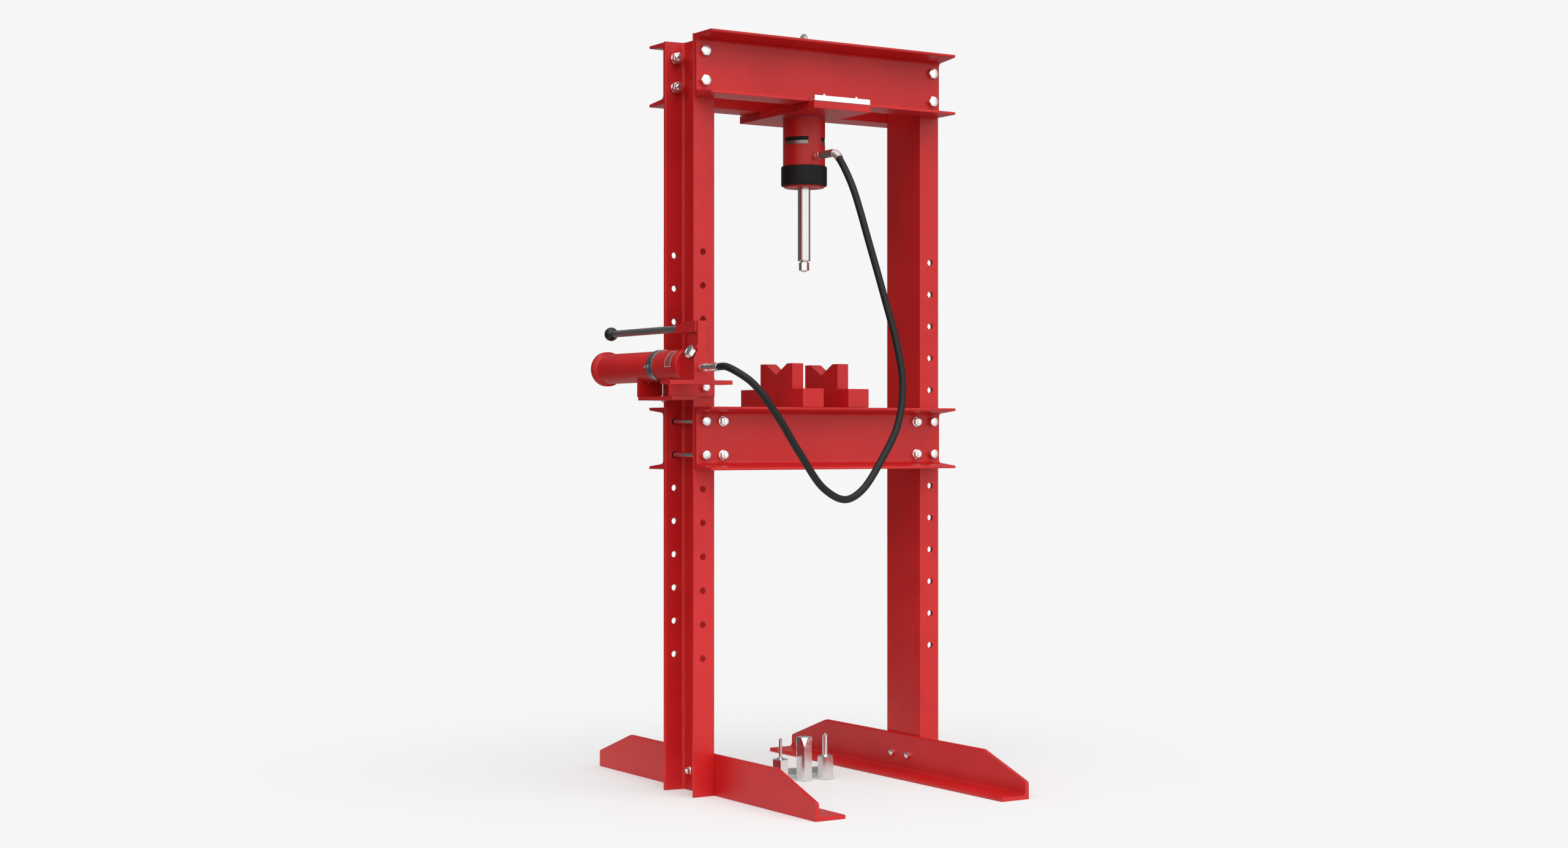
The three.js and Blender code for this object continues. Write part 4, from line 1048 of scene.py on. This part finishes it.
def bracket():
    low, high = span("pump_bracket")
    back = span("column_left")[1].y + GAP
    shelf_top = low.z + 8.5
    shelf = slab(low.x, span("column_left")[0].x - GAP, low.y, back + 1, low.z, shelf_top)
    sides = ((-high.y, -back), (back, high.y))
    plates = [slab(low.x, high.x, y0, y1, shelf_top - 0.5, high.z) for y0, y1 in sides]
    join(shelf, *plates)
    cut(
        shelf,
        rod(NOSE_RADIUS + GAP, at_pump(-back - 20), at_pump(0), 96),
        rod(RESERVOIR_RADIUS + GAP, at_pump(0), at_pump(back + 20), 96),
        cross_hole(-HOLE_X, hole_z(PUMP_BOLT_STEP), 7.8),
        rod(STUD_RADIUS + GAP, (PUMP_X, STUD_Y, low.z - 1), (PUMP_X, STUD_Y, shelf_top + 1)),
    )
    show(shelf, "bracket", "frame", RED, ["pump_bracket"], bevel=0.7)


VALVE_STANDOFF = 3.7
VALVE_HEAD_TOP = 14.5
VALVE_AXIS = Vector((SHOULDER_BOTTOM - SHOULDER_TOP, 0, BLOCK_HALF - POST_HALF)).normalized()
VALVE_SEAT = Vector((PUMP_X - (BLOCK_HALF + POST_HALF) / 2, -166, (SHOULDER_BOTTOM + SHOULDER_TOP) / 2))


def pump_body():
    low, high = span("pump_body")
    nose = turned(rounded([
        (0, BLOCK_REAR - 4),
        (NOSE_RADIUS - 1.8, BLOCK_REAR - 4, 3),
        (NOSE_RADIUS, BLOCK_REAR + 4, 4),
        (NOSE_RADIUS, -12, 0.8),
        (33.2, -12),
        (33.2, high.y),
        (0, high.y),
    ], TURNED_STEP), (PUMP_X, 0, PUMP_Z), Y, 96)
    left, right = PUMP_X - BLOCK_HALF, PUMP_X + BLOCK_HALF
    foot_top = low.z + 9.8
    section = rounded([
        (left, foot_top - 1), (right, foot_top - 1),
        (right, SHOULDER_BOTTOM, 6),
        (PUMP_X + POST_HALF, SHOULDER_TOP, 6),
        (PUMP_X + POST_HALF, SHOULDER_TOP + 12),
        (PUMP_X - POST_HALF, SHOULDER_TOP + 12),
        (PUMP_X - POST_HALF, SHOULDER_TOP, 1),
        (left, SHOULDER_BOTTOM, 3),
    ])
    block = prism(section, POST_REAR - low.y, X, Z, (0, POST_REAR, 0))
    rear = slab(left, right, POST_REAR - 1, BLOCK_REAR, foot_top - 1, SHOULDER_BOTTOM + 4)
    post = slab(PUMP_X - POST_HALF, PUMP_X + POST_HALF, low.y, POST_REAR, SHOULDER_TOP + 11, high.z)
    base = slab(low.x, high.x, low.y, POST_REAR, low.z, foot_top)
    join(nose, block, rear, post, base)
    pivot_y, pivot_z = LEVER_PIVOT
    cut(
        nose,
        rod(6.3, VALVE_SEAT - VALVE_AXIS * 22, VALVE_SEAT + VALVE_AXIS),
        rod(PLUNGER_RADIUS + GAP, at_pump(PLUNGER_Y, 1000), at_pump(PLUNGER_Y, 1060)),
        rod(PIVOT_RADIUS + GAP, at_pump(pivot_y, pivot_z, -20), at_pump(pivot_y, pivot_z, 20)),
    )
    show(nose, "pump_casting", "frame", RED, ["pump_body"], bevel=0.7)


def release_valve():
    seat, axis = VALVE_SEAT, VALVE_AXIS
    head = hexagon(27, seat + axis * VALVE_STANDOFF, seat + axis * VALVE_HEAD_TOP, (False, True), 0.26)
    rim = turned([(0, 0), (10.6, 0), (10, -0.8), (0, -0.8)], seat + axis * (VALVE_HEAD_TOP + 0.1), axis, 48)
    join(head, rod(6, seat - axis * 20, seat + axis * 3))
    cut(head, rim)
    show(head, "release_knob", "release_valve", ZINC, ["release_valve"], bevel=0.5)
    # Painted shadow: a black ring filling the gap between the seat and the hex head, where there is only
    # shade.
    washer = turned([(6.6, 0), (10.5, 0), (10.5, 3.3), (6.6, 3.3)], seat + axis * 0.1, axis, 48)
    show(washer, "release_gap_shade", "frame", BLACK)


def label():
    """A blank data plate wrapped around the pump's nose, with a raised border."""
    for name, start, end, low, high, lift, material in (
        ("plate", 122, 186, -100, -72, 0.35, LABEL),
        ("top_line", 122, 124, -100, -72, 0.6, LABEL_LINE),
        ("bottom_line", 184, 186, -100, -72, 0.6, LABEL_LINE),
        ("front_line", 122, 186, -100, -98.8, 0.6, LABEL_LINE),
        ("rear_line", 122, 186, -73.2, -72, 0.6, LABEL_LINE),
    ):
        steps = max(2, int((end - start) / 1.5))
        outline = []
        for radius, order in ((NOSE_RADIUS - 0.2, 1), (NOSE_RADIUS + lift, -1)):
            arc = [math.radians(start + (end - start) * step / steps) for step in range(steps + 1)][::order]
            outline += [(radius * math.cos(angle), radius * math.sin(angle)) for angle in arc]
        plate = prism(outline, high - low, X, Z, (PUMP_X, high, PUMP_Z))
        show(plate, f"label_{name}", "frame", material, sharp=40)


def lever():
    low, high = span("pump_lever")
    half = (high.x - low.x) / 2
    left = PUMP_X - half
    side = [(low.y, low.z, 1.5), (high.y, low.z, 3), (high.y, low.z + 8)]
    length, rise = 72, high.z - low.z - 8
    for step in range(1, 25):
        angle = math.pi / 2 * step / 24
        side.append((high.y - length + length * math.cos(angle), low.z + 8 + rise * math.sin(angle)))
    side.append((low.y, high.z, 2))
    socket = prism(rounded(side), 2 * half, Y, Z, (left, 0, 0))
    pivot_y, pivot_z = LEVER_PIVOT
    cut(
        socket,
        slab(
            left + LEVER_CHEEK, left + 2 * half - LEVER_CHEEK,
            low.y - 1, LEVER_SOLID_FRONT, low.z - 1, high.z + 1),
        rod(HANDLE_RADIUS + GAP, at_pump(high.y + 1, HANDLE_Z), at_pump(-120, HANDLE_Z)),
        rod(PIVOT_RADIUS + GAP, at_pump(pivot_y, pivot_z, -20), at_pump(pivot_y, pivot_z, 20)),
    )
    show(socket, "lever", "lever", RED, ["pump_lever"], bevel=0.8)
    pin_ends = [at_pump(pivot_y, pivot_z, reach) for reach in (GAP - half, half - GAP)]
    pin = rod(PIVOT_RADIUS, *pin_ends, chamfer=0.6)
    show(pin, "pivot_pin", "lever", RED, ["lever_pin"], bevel=0.2, slot="zinc_plate")
    low, high = span("pump_plunger")
    plunger = rod(PLUNGER_RADIUS, at_pump(PLUNGER_Y, low.z), at_pump(PLUNGER_Y, high.z), 48, 0.8)
    show(plunger, "plunger", "plunger", CHROME, ["pump_plunger"], sharp=30)
    low, high = span("handle_bar")
    bar = rod(HANDLE_RADIUS, (PUMP_X, low.y, HANDLE_Z), (PUMP_X, high.y, HANDLE_Z), 48, 0.8)
    show(bar, "handle", "lever", STEEL, ["handle_bar"], sharp=30)


def ball():
    low, high = span("ball_grip")
    radius = (high.x - low.x) / 2
    centre = high.y - radius
    bore = HANDLE_RADIUS + GAP
    start = math.pi - math.asin((bore + 0.6) / radius)
    steps = 40
    profile = [(0, GAP), (bore, GAP), (bore, radius * math.cos(start) + 0.5)]
    angles = [start * (1 - k / steps) for k in range(steps)]
    profile += [(radius * math.sin(angle), radius * math.cos(angle)) for angle in angles]
    profile.append((0, radius))
    grip = turned(profile, (PUMP_X, centre, HANDLE_Z), Y, 72)
    show(grip, "grip", "lever", BALL, ["ball_grip"], sharp=50)


def pump_fitting():
    """The hose end at the pump: a short nipple and a ferrule with a round nose and crimped rear part."""
    low, high = span("pump_hose_fitting")
    x, z = (low.x + high.x) / 2, (low.z + high.z) / 2
    start, radius = high.y, (high.x - low.x) / 2
    length = start - low.y
    nose = [(0, 0), (7.4, 0), (8, 0.6), (8, 7), (6.6, 7.6), (6.6, 9)]
    for step in range(9):
        angle = math.pi / 2 * step / 8
        nose.append((6.8 + (radius - 7.1) * math.sin(angle), 9 + 5 * (1 - math.cos(angle))))
    smooth_end = 40
    nose += [(radius - 0.3, smooth_end - 1), (radius - 0.9, smooth_end), (0, smooth_end)]
    front = turned(nose, (x, start, z), -Y, 64)
    show(front, "ferrule_front", "frame", ZINC, ["pump_hose_fitting"], sharp=40)
    rear = start - smooth_end + 0.5
    crimp = [Vector((x, rear - along, z)) for along in range(int(length - smooth_end - 4))]
    radii = [radius - 0.3 - (0.25 if index % 7 == 6 else 0.0) for index in range(len(crimp))]
    show(tube(crimp, radii, 48), "ferrule_crimp", "frame", ZINC, sharp=60)
    lip = [(0, 0), (radius - 0.5, 0), (radius, 0.5), (radius, 3.6), (radius - 0.6, 4.2), (0, 4.2)]
    show(turned(lip, (x, low.y + 4.6, z), -Y, 64), "ferrule_lip", "frame", ZINC, sharp=30)


# ---------------------------------------------------------------- hose

HOSE_RADIUS = 8.5
HOSE_ROUTE = (
    (-399.6, -265.8, 1008.6),
    (-399, -292, 1008),
    (-390, -324, 996),
    (-362, -350, 969),
    (-311, -361, 905),
    (-242, -360, 809),
    (-176, -355, 731),
    (-114, -350, 704),
    (-62, -343, 724),
    (-1, -338, 797),
    (50, -331, 880),
    (70, -321, 974),
    (66, -303, 1066),
    (48, -277, 1180),
    (27, -244, 1310),
    (10, -203, 1440),
    (1, -176.4, 1494.4),
    (0, -156.8, 1517.9),
)


def hose():
    path = smooth_path(HOSE_ROUTE, 12)
    pipe = tube(path, HOSE_RADIUS, 32)
    pipe.name = "hose"
    pipe.data.transform(PLACE)
    pipe.data.materials.append(RUBBER)
    pipe.data.shade_smooth()
    pipe.data.set_sharp_from_angle(angle=math.radians(50))
    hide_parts("hydraulic_hose")
    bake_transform(pipe)


# ---------------------------------------------------------------- table tools and press pins

def table_tools():
    for name, _ in SIDES:
        node = f"arbor_plate_{name}"
        low, high = span(node)
        plate = slab(low.x, high.x, low.y, high.y, low.z, high.z)
        show(plate, f"{name}_arbor_plate", node, RED, [node], bevel=1.2, segments=3)
        node = f"v_block_{name}"
        low, high = span(node)
        end, top = high.y, high.z
        outline = rounded([
            (-end, low.z), (end, low.z), (end, top), (49, top), (0, top - 26.5, 1.2), (-49, top), (-end, top),
        ])
        block = prism(outline, high.x - low.x, Y, Z, (low.x, 0, 0))
        show(block, f"{name}_v_block", node, RED, [node], bevel=1.2, segments=3)


TOOL_FLATS = 37.5
TOOL_SHOULDER = 57
PUNCH_TAPER = 24
PUNCH_LEAN = 11
LYING_FLATS = 25
LYING_ENDS = ((-44, 70), (85, 49))


def press_pin_shape(radius, height):
    """A press pin stood on the origin, a corner of its shank towards +X."""
    shank = hexagon(TOOL_FLATS, (0, 0, 0), (0, 0, TOOL_SHOULDER), (True, False))
    corner = TOOL_FLATS / math.sqrt(3)
    roof = turned([(0, -5), (corner + 2, -5), (radius + 3.5, 3.8), (0, 3.8)], (0, 0, TOOL_SHOULDER), Z, 64)
    top = hexagon(TOOL_FLATS, (0, 0, TOOL_SHOULDER - 4), (0, 0, TOOL_SHOULDER + 6), (False, False))
    boolean(top, [roof], "INTERSECT")
    neck = TOOL_SHOULDER + 1
    pin = turned([
        (0, neck - 2),
        (radius + 3, neck - 2),
        (radius + 3, neck + 2.4),
        (radius + 2, neck + 3.4),
        (radius, neck + 4.4),
        (radius, height - radius * 0.75),
        (radius * 0.25, height),
        (0, height),
    ], sides=40)
    return join(shank, top, pin)


def standing_at(name):
    low, high = span(name)
    return Vector(((low.x + high.x) / 2, (low.y + high.y) / 2, 0)), high.z


def press_pins():
    for name, radius in (("press_pin_thin", 4), ("press_pin_thick", 7.5)):
        at, height = standing_at(name)
        pin = press_pin_shape(radius, height)
        pin.data.transform(Matrix.Translation(at))
        show(pin, f"steel_{name}", name, PIN_STEEL, [name], bevel=0.5)
    at, height = standing_at("drift_punch")
    punch = hexagon(TOOL_FLATS, (0, 0, 0), (0, 0, height), (True, False))
    lean = Matrix.Rotation(math.radians(PUNCH_LEAN), 4, "X")
    corner = Matrix.Translation((0, TOOL_FLATS / math.sqrt(3), height - PUNCH_TAPER))
    for turn in range(6):
        facet = slab(-30, 30, 0, 30, 0, 60)
        spin = Matrix.Rotation(math.radians(60 * turn + 30), 4, "Z")
        facet.data.transform(spin @ corner @ lean)
        cut(punch, facet)
    punch.data.transform(Matrix.Translation(at))
    show(punch, "steel_punch", "drift_punch", PIN_STEEL, ["drift_punch"], bevel=0.3, sharp=8)
    lying = hexagon(LYING_FLATS, *[(x, y, LYING_FLATS / 2) for x, y in LYING_ENDS])
    show(lying, "lying_drift", "frame", PIN_STEEL, bevel=0.4)


make_camera()
make_world()
make_floor()
frame_pieces()
fasteners()
head_plate()
for bar_name, bar_face in FACES:
    guide_bar(bar_name, bar_face)
barrel()
collar()
gland()
cap()
ram()
elbow()
reservoir()
clamp_band()
bracket()
pump_body()
release_valve()
label()
lever()
ball()
pump_fitting()
hose()
table_tools()
press_pins()
